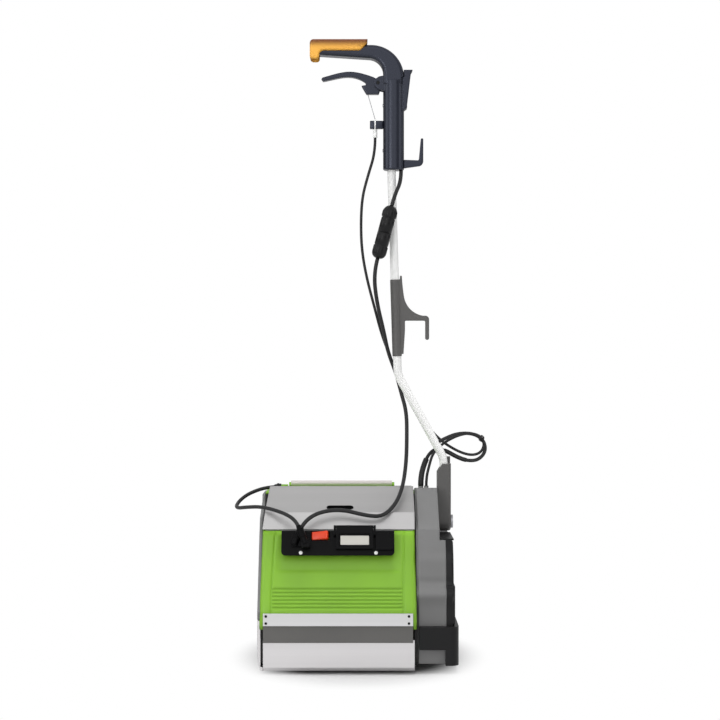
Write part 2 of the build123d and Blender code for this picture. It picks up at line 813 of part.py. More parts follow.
# Green bridge over the motor, with the carry bar's lugs, the lid's hinge lugs and the lead's entry
lug_t = 4.7
hinge_lug_x = (-106.0, 36.0)
hinge_lug_t = 6.0
entry_x = -140.0
entry_at = (2.0, bridge_z + 6.5)
entry_rise = 4.0
with BuildPart() as top_bridge:
    with Locations(((room_left - plate + plate_right) / 2, 0, bridge_z - skin / 2)):
        Box(plate_right - room_left + plate, 2 * bridge_half, skin)
    with BuildSketch(Plane.YZ.offset(bar_x[0] - seat_gap - lug_t), Plane.YZ.offset(bar_x[1] + seat_gap)):
        with BuildLine():
            Polyline(
                (bail_y - 7.0, bridge_z - 1.0),
                (bail_y + 7.0, bridge_z - 1.0),
                (bail_y + 7.0, bail_z + 1.0),
                (bail_y + 3.0, bail_z + 5.0),
                (bail_y - 3.0, bail_z + 5.0),
                (bail_y - 7.0, bail_z + 1.0),
                close=True,
            )
        make_face()
        with Locations((bail_y, bail_z)):
            Circle(bail_pin_r + run_gap, mode=Mode.SUBTRACT)
    extrude(amount=lug_t)
    with BuildSketch(Plane.YZ.offset(hinge_lug_x[0]), Plane.YZ.offset(hinge_lug_x[1])):
        with BuildLine():
            Polyline(
                (bridge_half - 8.0, bridge_z - skin),
                (hinge_y, hinge_z - 3.0),
                (hinge_y, hinge_z + 3.0),
                (bridge_half - 8.0, hinge_z + 1.0),
                close=True,
            )
        make_face()
        with Locations((hinge_y, hinge_z)):
            Circle(3.0)
    extrude(amount=hinge_lug_t)
    with BuildSketch(
        Plane.YZ.offset(hinge_lug_x[0] + hinge_lug_t), Plane.YZ.offset(hinge_lug_x[1] + hinge_lug_t)
    ):
        with Locations((hinge_y, hinge_z)):
            Circle(hinge_r)
    extrude(amount=6.0)
    entry_top = entry_at[1] + entry_rise
    with Locations((entry_x + 6.0, entry_at[0], (bridge_z - 1.0 + entry_top) / 2)):
        Box(12.0, 14.0, entry_top - bridge_z + 1.0)
top_bridge.part.label = "top_bridge"
export_step(top_bridge.part, "parts/top_bridge.step")

# Silver carry bar, a bail that folds down on the bridge
bail_lean = math.degrees(math.atan2(bail_drop, bail_y))
with BuildPart() as carry_bar:
    with BuildSketch(Plane.YZ.offset(bar_x[0] + 1.0)):
        with Locations((0, bar_z)):
            Circle(bar_r)
    extrude(amount=bar_x[1] - bar_x[0] - 2.0)
    with BuildSketch(Plane.YZ.offset(bar_x[0]), Plane.YZ.offset(bar_x[1] - 4.0)):
        with Locations((bail_y / 2, bar_z - bail_drop / 2)):
            SlotOverall(math.hypot(bail_y, bail_drop) + 2 * bar_r, 2 * bar_r, rotation=-bail_lean)
    extrude(amount=4.0)
    with BuildSketch(Plane.YZ.offset(bar_x[0] - lug_t), Plane.YZ.offset(bar_x[1] - 1.0)):
        with Locations((bail_y, bail_z)):
            Circle(bail_pin_r)
    extrude(amount=lug_t + 1.0)
carry_bar.part.label = "carry_bar"
export_step(carry_bar.part, "parts/carry_bar.step")

# Bright rear lid over the recovery tank, hinged at its top edge
ear_t = 4.5
rear_line = [(-rear_top[0], rear_top[1])] + lid_line[1:]


def rear_lid_z(y):
    # Height of the middle of the rear lid's upper sheet.
    slope = (rear_top[1] - lid_fold[1]) / (lid_fold[0] - rear_top[0])
    return rear_top[1] - slope * (y - rear_top[0]) - sheet / 2


with BuildPart() as rear_lid:
    with BuildSketch(Plane.YZ.offset(lid_span[0])):
        with BuildLine():
            Polyline(*mirrored(sheet_outline(rear_line, sheet)), close=True)
        make_face()
    extrude(amount=lid_span[1] - lid_span[0])
    with BuildSketch(Plane.XZ):
        with BuildLine():
            Polyline(*lid_left, close=True)
        make_face()
    extrude(amount=300.0, both=True, mode=Mode.SUBTRACT)
    for x in hinge_lug_x:
        with Locations((x + 6.5, rear_top[0], rear_top[1])):
            Box(15.0, 16.4, 20.0, mode=Mode.SUBTRACT)
        with BuildSketch(Plane.YZ.offset(x + hinge_lug_t + seat_gap)):
            with BuildLine():
                Polyline(
                    (hinge_y, hinge_z + 3.0),
                    (hinge_y + 8.5, rear_lid_z(hinge_y + 8.5)),
                    (hinge_y + 14.0, rear_lid_z(hinge_y + 14.0)),
                    (hinge_y + 10.0, hinge_z - 4.5),
                    (hinge_y, hinge_z - 3.0),
                    close=True,
                )
            make_face()
            with Locations((hinge_y, hinge_z)):
                Circle(3.0)
                Circle(hinge_r + run_gap, mode=Mode.SUBTRACT)
        extrude(amount=ear_t)
    with BuildSketch(
        Plane(
            origin=Vector(slot_x, lid_fold[0], lid_fold[1]) + Vector(0, -slope_up.Y, slope_up.Z) * 14.0,
            x_dir=(1, 0, 0),
            z_dir=(0, slope_up.Z, slope_up.Y),
        )
    ):
        SlotOverall(slot_size[0], slot_size[1])
    extrude(amount=5.0, both=True, mode=Mode.SUBTRACT)
rear_lid.part.label = "rear_lid"
export_step(rear_lid.part, "parts/rear_lid.step")

# Black switch box in the recess
box_back = recess_depth - 0.2
box_profile = [
    (-cover_y(box_z[0]) + box_back, box_z[0]),
    (-box_front[0], box_z[0]),
    (-box_front[1], box_z[1]),
    (-cover_top[0] + 0.5, box_z[1]),
    (-cover_top[0] - 0.6, cover_top[1] - 1.0),
    (-cover_y(cover_top[1] - 1.0) + box_back, cover_top[1] - 1.0),
]
box_room = [
    (-cover_y(box_z[0] + 3.0) + recess_depth + 1.0, box_z[0] + 3.0),
    (-box_front[0] + 5.2, box_z[0] + 3.0),
    (-box_front[1] - 0.2, box_z[1] - 11.0),
    (-cover_y(box_z[1] - 11.0) + recess_depth + 1.0, box_z[1] - 11.0),
]
rocker_n = -2.0
rocker_reach = math.hypot(rocker_w / 2, 7.0)
hole_w = 2 * (rocker_reach + 0.3)
hole_h = rocker_h + 1.0
hole_n = rocker_n - 4.0 - rocker_w / 2 * math.sin(math.radians(rocker_tilt))
knuckle_r = flap_t / 2
flap_n = 0.4 + knuckle_r
ear_w = 3.9
with BuildPart() as switch_box:
    with BuildSketch(Plane.YZ.offset(box_x[0])):
        with BuildLine():
            Polyline(*box_profile, close=True)
        make_face()
    extrude(amount=box_x[1] - box_x[0])
    fillet(switch_box.edges().filter_by(Plane.YZ).group_by(Axis.Z)[0], 7.0)
    with BuildSketch(Plane.YZ.offset(box_x[0] + 3.0)):
        with BuildLine():
            Polyline(*box_room, close=True)
        make_face()
    extrude(amount=box_x[1] - box_x[0] - 6.0, mode=Mode.SUBTRACT)
    with BuildSketch(face_plane(rocker_x, rocker_v, hole_n)):
        Rectangle(hole_w, hole_h)
    extrude(amount=12.0, mode=Mode.SUBTRACT)
    with BuildSketch(up_plane(rocker_x, rocker_v - hole_h / 2 - 1.0, rocker_n)):
        Circle(1.5)
    extrude(amount=hole_h + 2.0)
    with BuildSketch(face_plane(sum(flap_x) / 2, 0, -inlet_size[2] - 2.0)):
        RectangleRounded(inlet_size[0] + 4.0, inlet_size[1] + 4.0, 4.0)
    extrude(amount=inlet_size[2] + 1.0)
    with BuildSketch(face_plane(sum(flap_x) / 2, 0, -inlet_size[2])):
        RectangleRounded(inlet_size[0], inlet_size[1], 2.5)
    extrude(amount=inlet_size[2] + 1.0, mode=Mode.SUBTRACT)
    with BuildSketch(face_plane(45.6, 2.0, -1.0)):
        RectangleRounded(31.0, 29.0, 3.0)
    extrude(amount=7.0)
    with BuildSketch(
        side_plane(flap_x[0] - seat_gap - ear_w, flap_v[1], flap_n),
        side_plane(flap_x[1] + seat_gap, flap_v[1], flap_n),
    ):
        Circle(knuckle_r)
        with BuildLine():
            Polyline(
                (0.0, knuckle_r),
                (face_run / 2 - flap_v[1] - 8.0, knuckle_r),
                (face_run / 2 - flap_v[1] - 12.0, -flap_n - 0.4),
                (face_run / 2 - flap_v[1] - 1.0, -flap_n - 0.4),
                (0.0, -knuckle_r),
                close=True,
            )
        make_face()
    extrude(amount=ear_w)
    with BuildSketch(
        side_plane(flap_x[0] - seat_gap - 1.0, flap_v[1], flap_n),
        side_plane(flap_x[1] + seat_gap - 4.0, flap_v[1], flap_n),
    ):
        Circle(1.6)
    extrude(amount=5.0)
switch_box.part.label = "switch_box"
export_step(switch_box.part, "parts/switch_box.step")

# Orange rocker, resting tilted to one side
tilt = math.radians(rocker_tilt)
rocker_shape = [
    (-rocker_w / 2, -3.0),
    (rocker_w / 2, -3.0),
    (rocker_w / 2, 7.0),
    (0.0, 6.4),
    (-rocker_w / 2, 7.0),
]
rocker_rest = []
for x, n in rocker_shape:
    turned_x = x * math.cos(tilt) - n * math.sin(tilt)
    turned_n = x * math.sin(tilt) + n * math.cos(tilt)
    rocker_rest.append((turned_x, -turned_n))
with BuildPart() as rocker:
    with BuildSketch(up_plane(rocker_x, rocker_v - rocker_h / 2, rocker_n)):
        with BuildLine():
            Polyline(*rocker_rest, close=True)
        make_face()
        Circle(1.5 + fit_gap, mode=Mode.SUBTRACT)
    extrude(amount=rocker_h)
rocker.part.label = "rocker"
export_step(rocker.part, "parts/rocker.step")

# Hinged flap with a sunk window, and the bare plate in it
window_v = (-7.0, 15.0)
window_deep = 2.2
with BuildPart() as inlet_flap:
    with BuildSketch(side_plane(flap_x[0], flap_v[1], flap_n)):
        Circle(knuckle_r)
        with Locations(((flap_v[0] - flap_v[1]) / 2, 0)):
            Rectangle(flap_v[1] - flap_v[0], flap_t)
        Circle(1.6 + run_gap, mode=Mode.SUBTRACT)
    extrude(amount=flap_x[1] - flap_x[0])
    with BuildSketch(face_plane(sum(flap_x) / 2, sum(window_v) / 2, flap_n + knuckle_r - window_deep)):
        RectangleRounded(flap_x[1] - flap_x[0] - 10.0, window_v[1] - window_v[0], 3.0)
    extrude(amount=window_deep + 1.0, mode=Mode.SUBTRACT)
inlet_flap.part.label = "inlet_flap"
export_step(inlet_flap.part, "parts/inlet_flap.step")

with BuildPart() as flap_plate:
    with BuildSketch(face_plane(sum(flap_x) / 2, sum(window_v) / 2, flap_n + knuckle_r - window_deep)):
        RectangleRounded(49.0, 16.0, 1.5)
    extrude(amount=0.8)
flap_plate.part.label = "flap_plate"
export_step(flap_plate.part, "parts/flap_plate.step")

# Double strain relief: two sleeves that cross, one in front of the other
lean = math.radians(gland_lean)
gland_dirs = [face_up * math.cos(lean) + Vector(side * math.sin(lean), 0, 0) for side in (1, -1)]
gland_feet = [on_face(x, gland_v, n) for x, n in zip(gland_x, gland_n)]
gland_ends = [foot + way * gland_length for foot, way in zip(gland_feet, gland_dirs)]
with BuildPart() as lead_gland:
    with BuildSketch(face_plane(sum(gland_x) / 2, 6.0, 0)):
        RectangleRounded(30.0, 25.0, 3.0)
    extrude(amount=5.0)
    with BuildSketch(face_plane(gland_x[1], gland_v, 0)):
        RectangleRounded(15.0, 13.0, 3.0)
    extrude(amount=gland_n[1] + 3.0)
    for foot, way in zip(gland_feet, gland_dirs):
        with BuildSketch(Plane(origin=foot, z_dir=way)):
            Circle(gland_r)
        extrude(amount=gland_length)
lead_gland.part.label = "lead_gland"
export_step(lead_gland.part, "parts/lead_gland.step")

# Water tanks in front of and behind the drum and the motor
tank_wall = 2.5
tank_in = drum_r + 5.0
tank_neck = motor_r + 8.0
tank_low = 2 * brush_r + 8.0
tank_x = (room_left + 0.5, room_right - 0.5)
tank_half = [
    (tank_in, tank_low),
    (cover_y(tank_low) - 18.0, tank_low),
    (cover_top[0] - 15.0, cover_top[1] - 2.0),
    (lid_fold[0] - 8.0, lid_fold[1] - 12.0),
    (tank_neck, lid_top[1] - 20.0),
    (tank_neck, drum_z + drum_r + 5.0),
    (tank_in, drum_z + drum_r - 1.0),
]
with BuildPart() as fresh_tank:
    with BuildSketch(Plane.YZ.offset(tank_x[0])):
        with BuildLine():
            Polyline(*mirrored(tank_half), close=True)
        make_face()
    extrude(amount=tank_x[1] - tank_x[0])
    with BuildSketch(Plane.YZ.offset(tank_x[0] + tank_wall)):
        with BuildLine():
            Polyline(*mirrored(tank_half), close=True)
        make_face()
        offset(amount=-tank_wall, mode=Mode.REPLACE)
    extrude(amount=tank_x[1] - tank_x[0] - 2 * tank_wall, mode=Mode.SUBTRACT)
    with BuildSketch(Plane.XY.offset(tank_half[3][1])):
        with Locations((-100.0, -(tank_neck + 22.0))):
            Circle(14.0)
    extrude(amount=60.0, mode=Mode.SUBTRACT)
fresh_tank.part.label = "fresh_tank"
export_step(fresh_tank.part, "parts/fresh_tank.step")

with BuildPart() as recovery_tank:
    with BuildSketch(Plane.YZ.offset(tank_x[0])):
        with BuildLine():
            Polyline(*tank_half, close=True)
        make_face()
    extrude(amount=tank_x[1] - tank_x[0])
    with BuildSketch(Plane.YZ.offset(tank_x[0] + tank_wall)):
        with BuildLine():
            Polyline(*tank_half, close=True)
        make_face()
        offset(amount=-tank_wall, mode=Mode.REPLACE)
    extrude(amount=tank_x[1] - tank_x[0] - 2 * tank_wall, mode=Mode.SUBTRACT)
    with BuildSketch(Plane.YZ.offset(tank_x[0] + tank_wall)):
        with BuildLine():
            Polyline(
                (tank_neck + tank_wall, tank_half[4][1] + 6.0),
                (tank_neck + tank_wall, tank_half[4][1] - 14.0),
                (tank_half[3][0] - 4.0, tank_half[3][1] - 12.0),
                (tank_half[3][0] - 1.5, tank_half[3][1] + 10.0),
                close=True,
            )
        make_face()
    extrude(amount=tank_x[1] - tank_x[0] - 2 * tank_wall, mode=Mode.SUBTRACT)
recovery_tank.part.label = "recovery_tank"
export_step(recovery_tank.part, "parts/recovery_tank.step")

# Drive motor on the right side plate
motor_left = 10.0
with BuildPart() as drive_motor:
    with BuildSketch(Plane.YZ.offset(motor_left)):
        with Locations(motor_centre):
            Circle(motor_r)
    extrude(amount=room_right - motor_left)
    with BuildSketch(Plane.YZ.offset(motor_left - 30.0)):
        with Locations(motor_centre):
            Circle(motor_r - 8.0)
    extrude(amount=30.0)
    with BuildSketch(Plane.YZ.offset(room_right - 36.0)):
        with Locations(motor_centre):
            Circle(axle_r + run_gap)
    extrude(amount=36.0, mode=Mode.SUBTRACT)
drive_motor.part.label = "drive_motor"
export_step(drive_motor.part, "parts/drive_motor.step")

# Water bar over the front roller
spray_at = (-(tank_in + 6.5), tank_low - 6.5)
with BuildPart() as spray_bar:
    with BuildSketch(Plane.YZ.offset(room_left + 0.3)):
        with Locations(spray_at):
            Circle(4.5)
            Circle(3.0, mode=Mode.SUBTRACT)
    extrude(amount=room_right - room_left - 0.6)
spray_bar.part.label = "spray_bar"
export_step(spray_bar.part, "parts/spray_bar.step")

# Front roller: core, bristles and drive gear
core_x = (room_left + end_play, room_right - end_play)
bristle_x = (core_x[0] + 2.0, core_x[1] - 2.0)
row_pitch = (bristle_x[1] - bristle_x[0]) / bristle_rows
row_outline = [(bristle_x[0], core_r + run_gap)]
for k in range(bristle_rows):
    start = bristle_x[0] + k * row_pitch
    row_outline += [(start, brush_r), (start + 0.6 * row_pitch, brush_r)]
    if k < bristle_rows - 1:
        row_outline.append((start + 0.7 * row_pitch, brush_r - 14.0))
        row_outline.append((start + 0.9 * row_pitch, brush_r - 14.0))
row_outline += [(bristle_x[1], brush_r - 8.0), (bristle_x[1], core_r + run_gap)]
hex_r = dog_flats / math.sqrt(3)
hex_room = (dog_flats + 0.4) / math.sqrt(3)
socket_x = core_x[1] - dog_length
pin_end = room_left + end_play + 10.0

with BuildPart() as front_brush_core:
    with BuildSketch(Plane.YZ.offset(core_x[0])):
        with Locations(front_centre):
            Circle(core_r)
    extrude(amount=core_x[1] - core_x[0])
    with BuildSketch(Plane.YZ.offset(core_x[0])):
        with Locations(front_centre):
            Circle(pin_r + run_gap)
    extrude(amount=pin_end + 1.0 - core_x[0], mode=Mode.SUBTRACT)
    with BuildSketch(Plane.YZ.offset(pin_end + 5.0)):
        with Locations(front_centre):
            Circle(core_r - core_wall)
    extrude(amount=socket_x - 5.0 - pin_end - 5.0, mode=Mode.SUBTRACT)
    with BuildSketch(Plane.YZ.offset(socket_x)):
        with Locations(front_centre):
            RegularPolygon(hex_room, 6)
    extrude(amount=dog_length, mode=Mode.SUBTRACT)
front_brush_core.part.label = "front_brush_core"
export_step(front_brush_core.part, "parts/front_brush_core.step")

front_axis = Axis((0, front_centre[0], front_centre[1]), (1, 0, 0))
with BuildPart() as front_brush_bristles:
    with BuildSketch(Plane(origin=front_axis.position, x_dir=(1, 0, 0), z_dir=(0, -1, 0))):
        with BuildLine():
            Polyline(*row_outline, close=True)
        make_face()
    revolve(axis=front_axis)
front_brush_bristles.part.label = "front_brush_bristles"
export_step(front_brush_bristles.part, "parts/front_brush_bristles.step")

with BuildPart() as front_drive_gear:
    with BuildSketch(Plane.YZ.offset(row_one)):
        with BuildLine():
            Polyline(*moved(gear_outline(brush_teeth, front_phase), front_centre), close=True)
        make_face()
    extrude(amount=gear_width)
    with BuildSketch(Plane.YZ.offset(core_x[1] + 0.6)):
        with Locations(front_centre):
            Circle(shaft_r)
    extrude(amount=row_one + gear_width + 3.0 - core_x[1] - 0.6)
    with BuildSketch(Plane.YZ.offset(socket_x + 0.5)):
        with Locations(front_centre):
            RegularPolygon(hex_r, 6)
    extrude(amount=dog_length + 0.6)
front_drive_gear.part.label = "front_drive_gear"
export_step(front_drive_gear.part, "parts/front_drive_gear.step")

# Rear roller: core, bristles and drive gear
with BuildPart() as rear_brush_core:
    with BuildSketch(Plane.YZ.offset(core_x[0])):
        with Locations(rear_centre):
            Circle(core_r)
    extrude(amount=core_x[1] - core_x[0])
    with BuildSketch(Plane.YZ.offset(core_x[0])):
        with Locations(rear_centre):
            Circle(pin_r + run_gap)
    extrude(amount=pin_end + 1.0 - core_x[0], mode=Mode.SUBTRACT)
    with BuildSketch(Plane.YZ.offset(pin_end + 5.0)):
        with Locations(rear_centre):
            Circle(core_r - core_wall)
    extrude(amount=socket_x - 5.0 - pin_end - 5.0, mode=Mode.SUBTRACT)
    with BuildSketch(Plane.YZ.offset(socket_x)):
        with Locations(rear_centre):
            RegularPolygon(hex_room, 6)
    extrude(amount=dog_length, mode=Mode.SUBTRACT)
rear_brush_core.part.label = "rear_brush_core"
export_step(rear_brush_core.part, "parts/rear_brush_core.step")

rear_axis = Axis((0, rear_centre[0], rear_centre[1]), (1, 0, 0))
with BuildPart() as rear_brush_bristles:
    with BuildSketch(Plane(origin=rear_axis.position, x_dir=(1, 0, 0), z_dir=(0, -1, 0))):
        with BuildLine():
            Polyline(*row_outline, close=True)
        make_face()
    revolve(axis=rear_axis)
rear_brush_bristles.part.label = "rear_brush_bristles"
export_step(rear_brush_bristles.part, "parts/rear_brush_bristles.step")

with BuildPart() as rear_drive_gear:
    with BuildSketch(Plane.YZ.offset(row_one)):
        with BuildLine():
            Polyline(*moved(gear_outline(brush_teeth, rear_phase), rear_centre), close=True)
        make_face()
    extrude(amount=gear_width)
    with BuildSketch(Plane.YZ.offset(core_x[1] + 0.6)):
        with Locations(rear_centre):
            Circle(shaft_r)
    extrude(amount=row_one + gear_width + 3.0 - core_x[1] - 0.6)
    with BuildSketch(Plane.YZ.offset(socket_x + 0.5)):
        with Locations(rear_centre):
            RegularPolygon(hex_r, 6)
    extrude(amount=dog_length + 0.6)
rear_drive_gear.part.label = "rear_drive_gear"
export_step(rear_drive_gear.part, "parts/rear_drive_gear.step")

# Pick-up drum with its ribs and shaft, and its gear
rib_count = 18
with BuildPart() as pickup_drum:
    with BuildSketch(Plane.YZ.offset(core_x[0])):
        with Locations(drum_centre):
            Circle(drum_r - 4.0)
        with Locations(drum_centre):
            with PolarLocations(drum_r - 4.0, rib_count):
                Rectangle(8.0, 4.0)
    extrude(amount=core_x[1] - core_x[0])
    with BuildSketch(Plane.YZ.offset(core_x[0])):
        with Locations(drum_centre):
            Circle(pin_r + run_gap)
    extrude(amount=pin_end + 1.0 - core_x[0], mode=Mode.SUBTRACT)
    with BuildSketch(Plane.YZ.offset(pin_end + 5.0)):
        with Locations(drum_centre):
            Circle(drum_r - 8.5)
    extrude(amount=core_x[1] - 10.0 - pin_end - 5.0, mode=Mode.SUBTRACT)
    with BuildSketch(Plane.YZ.offset(core_x[1] - 4.0)):
        with Locations(drum_centre):
            Circle(shaft_r)
    extrude(amount=axle_end - core_x[1] + 4.0)
pickup_drum.part.label = "pickup_drum"
export_step(pickup_drum.part, "parts/pickup_drum.step")

with BuildPart() as drum_gear:
    with BuildSketch(Plane.YZ.offset(row_two)):
        with BuildLine():
            Polyline(*moved(gear_outline(drum_teeth, drum_phase), drum_centre), close=True)
        make_face()
        with Locations(drum_centre):
            Circle(shaft_r + run_gap, mode=Mode.SUBTRACT)
    extrude(amount=gear_width)
    with BuildSketch(Plane.YZ.offset(plate_right + 1.0)):
        with Locations(drum_centre):
            Circle(shaft_r + 4.0)
            Circle(shaft_r + run_gap, mode=Mode.SUBTRACT)
    extrude(amount=row_two - plate_right - 1.0)
drum_gear.part.label = "drum_gear"
export_step(drum_gear.part, "parts/drum_gear.step")

# Idlers and the motor's pinion
with BuildPart() as compound_gear:
    with BuildSketch(Plane.YZ.offset(row_one)):
        with BuildLine():
            Polyline(*moved(gear_outline(brush_teeth, compound_phase), compound_centre), close=True)
        make_face()
    extrude(amount=gear_width)
    with BuildSketch(Plane.YZ.offset(row_two)):
        with BuildLine():
            Polyline(*moved(gear_outline(small_teeth, small_phase), compound_centre), close=True)
        make_face()
    extrude(amount=gear_width)
    with BuildSketch(Plane.YZ.offset(plate_right + 1.0)):
        with Locations(compound_centre):
            Circle(axle_r + 6.0)
    extrude(amount=row_two - plate_right)
    with BuildSketch(Plane.YZ.offset(plate_right)):
        with Locations(compound_centre):
            Circle(axle_r + run_gap)
    extrude(amount=axle_end - plate_right, mode=Mode.SUBTRACT)
compound_gear.part.label = "compound_gear"
export_step(compound_gear.part, "parts/compound_gear.step")

with BuildPart() as idler_gear:
    with BuildSketch(Plane.YZ.offset(row_one)):
        with BuildLine():
            Polyline(*moved(gear_outline(brush_teeth, idler_phase), idler_centre), close=True)
        make_face()
    extrude(amount=gear_width)
    with BuildSketch(Plane.YZ.offset(plate_right + 1.0)):
        with Locations(idler_centre):
            Circle(axle_r + 6.0)
    extrude(amount=axle_end - plate_right - 2.0)
    with BuildSketch(Plane.YZ.offset(plate_right)):
        with Locations(idler_centre):
            Circle(axle_r + run_gap)
    extrude(amount=axle_end - plate_right, mode=Mode.SUBTRACT)
idler_gear.part.label = "idler_gear"
export_step(idler_gear.part, "parts/idler_gear.step")

with BuildPart() as top_idler:
    with BuildSketch(Plane.YZ.offset(row_two)):
        with BuildLine():
            Polyline(*moved(gear_outline(idler_teeth, top_idler_phase), top_idler_centre), close=True)
        make_face()
    extrude(amount=gear_width)
    with BuildSketch(Plane.YZ.offset(plate_right + 1.0)):
        with Locations(top_idler_centre):
            Circle(axle_r + 6.0)
    extrude(amount=row_two - plate_right - 1.0)
    with BuildSketch(Plane.YZ.offset(plate_right)):
        with Locations(top_idler_centre):
            Circle(axle_r + run_gap)
    extrude(amount=axle_end - plate_right, mode=Mode.SUBTRACT)
top_idler.part.label = "top_idler"
export_step(top_idler.part, "parts/top_idler.step")

with BuildPart() as motor_pinion:
    with BuildSketch(Plane.YZ.offset(row_two)):
        with BuildLine():
            Polyline(*moved(gear_outline(pinion_teeth, pinion_phase), motor_centre), close=True)
        make_face()
    extrude(amount=gear_width)
    with BuildSketch(Plane.YZ.offset(room_right - 34.0)):
        with Locations(motor_centre):
            Circle(axle_r)
    extrude(amount=axle_end - room_right + 34.0)
motor_pinion.part.label = "motor_pinion"
export_step(motor_pinion.part, "parts/motor_pinion.step")

# Steel stub that the handle swings on
with BuildPart() as handle_pivot:
    with BuildSketch(Plane.YZ.offset(neck_right - casing_wall - 5.0)):
        with Locations((0, pivot_z)):
            Circle(pivot_r + 12.0)
    extrude(amount=5.0)
    with BuildSketch(Plane.YZ.offset(neck_right - casing_wall)):
        with Locations((0, pivot_z)):
            Circle(pivot_r)
    extrude(amount=arm_x[1] + 0.4 - neck_right + casing_wall)
    with BuildSketch(Plane.YZ.offset(arm_x[1] + 0.4)):
        with Locations((0, pivot_z)):
            Circle(pivot_r + 4.0)
    extrude(amount=3.6)
handle_pivot.part.label = "handle_pivot"
export_step(handle_pivot.part, "parts/handle_pivot.step")

# Grey foot of the handle, with the tube's socket and a tab behind it
with BuildPart() as handle_arm:
    with BuildSketch(Plane.YZ.offset(arm_x[0])):
        with Locations((0, pivot_z)):
            Circle(arm_half)
        with Locations((0, (pivot_z + arm_top) / 2)):
            Rectangle(2 * arm_half, arm_top - pivot_z)
    extrude(amount=arm_x[1] - arm_x[0])
    with BuildSketch(Plane.XZ):
        with BuildLine():
            Polyline(
                (arm_x[0] - 1.0, arm_top - 17.0),
                (arm_x[0] + 9.5, arm_top + 1.0),
                (arm_x[0] - 1.0, arm_top + 1.0),
                close=True,
            )
        make_face()
    extrude(amount=arm_half + 1.0, both=True, mode=Mode.SUBTRACT)
    fillet(handle_arm.edges().filter_by(Axis.Z).group_by(Axis.X)[-1], 4.0)
    with BuildSketch(Plane.XY.offset(arm_top - 10.0)):
        with Locations((tube_foot_x + 4.7, arm_half - 3.6)):
            Rectangle(15.6, 5.2)
    extrude(amount=22.0)
    with BuildSketch(Plane.XY.offset(tube_low_z - 2.0)):
        with Locations((tube_foot_x, 0)):
            Circle(tube_r + run_gap)
    extrude(amount=arm_top, mode=Mode.SUBTRACT)
    with BuildSketch(Plane.YZ.offset(arm_x[0])):
        with Locations((0, pivot_z)):
            Circle(pivot_r + run_gap)
    extrude(amount=arm_x[1] - arm_x[0], mode=Mode.SUBTRACT)
handle_arm.part.label = "handle_arm"
export_step(handle_arm.part, "parts/handle_arm.step")

# Bent steel tube with a hole for the lead
low_run = Vector(tube_points[2][0] - tube_points[1][0], 0, tube_points[2][1] - tube_points[1][1])
low_dir = low_run.normalized()
hole_dir = Vector(low_dir.Z, 0, -low_dir.X)
hole_at = Vector(tube_points[1][0], 0, tube_points[1][1]) + low_dir * hole_up
with BuildPart() as handle_tube:
    with BuildLine() as tube_line:
        FilletPolyline(*[(x, 0, z) for x, z in tube_points], radius=tube_bends)
    with BuildSketch(Plane.XY.offset(tube_low_z)):
        with Locations((tube_foot_x, 0)):
            Circle(tube_r)
            Circle(tube_r - tube_wall, mode=Mode.SUBTRACT)
    sweep(path=tube_line.line)
    with BuildSketch(Plane(origin=hole_at, x_dir=(0, 1, 0), z_dir=hole_dir)):
        Circle(tube_lead_d / 2 + seat_gap)
    extrude(amount=tube_r + 3.0, mode=Mode.SUBTRACT)
handle_tube.part.label = "handle_tube"
export_step(handle_tube.part, "parts/handle_tube.step")

# Grey sleeve with the lower lead hook
top_run = Vector(tube_points[3][0] - tube_points[2][0], 0, tube_points[3][1] - tube_points[2][1])
top_dir = top_run.normalized()
sleeve_at = Vector(tube_points[2][0], 0, tube_points[2][1]) + top_dir * (
    (sleeve_low - tube_points[2][1]) / top_dir.Z
)
sleeve_foot = (sleeve_at.X, sleeve_low)
hook_back = [
    (8.4, 146.0),
    (9.6, 130.0),
    (11.3, 115.3),
    (13.3, 103.7),
    (18.4, 92.1),
    (26.2, 83.1),
    (37.8, 76.0),
    (47.0, 73.5),
]
hook_front = [
    hook_back[-1],
    (58.0, 73.5),
    (58.0, 29.6),
    (51.0, 29.6),
    (51.0, 64.4),
    (14.2, 64.4),
    (14.2, 46.0),
    (11.5, 4.0),
]
hook_rounds = [7.0, 3.4, 3.4, 2.5, 2.0, 30.0]
hook_root = [hook_front[-1], (2.0, 4.0), (2.0, 137.0), (4.9, 141.0), (5.2, 146.0), hook_back[0]]
sleeve_plane = Plane(origin=sleeve_at, x_dir=(0, 1, 0), z_dir=top_dir)
with BuildPart() as hook_clamp:
    with BuildSketch(sleeve_plane):
        Circle(tube_r + sleeve_wall)
    extrude(amount=sleeve_length)
    with BuildSketch(Plane.XZ):
        with BuildLine():
            Spline(*moved(hook_back, sleeve_foot))
            FilletPolyline(*moved(hook_front, sleeve_foot), radius=hook_rounds)
            Polyline(*moved(hook_root, sleeve_foot))
        make_face()
    extrude(amount=4.0, both=True)
    with BuildSketch(Plane(origin=sleeve_at - top_dir * 5.0, x_dir=(0, 1, 0), z_dir=top_dir)):
        Circle(tube_r + run_gap)
    extrude(amount=sleeve_length + 10.0, mode=Mode.SUBTRACT)
hook_clamp.part.label = "hook_clamp"
export_step(hook_clamp.part, "parts/hook_clamp.step")

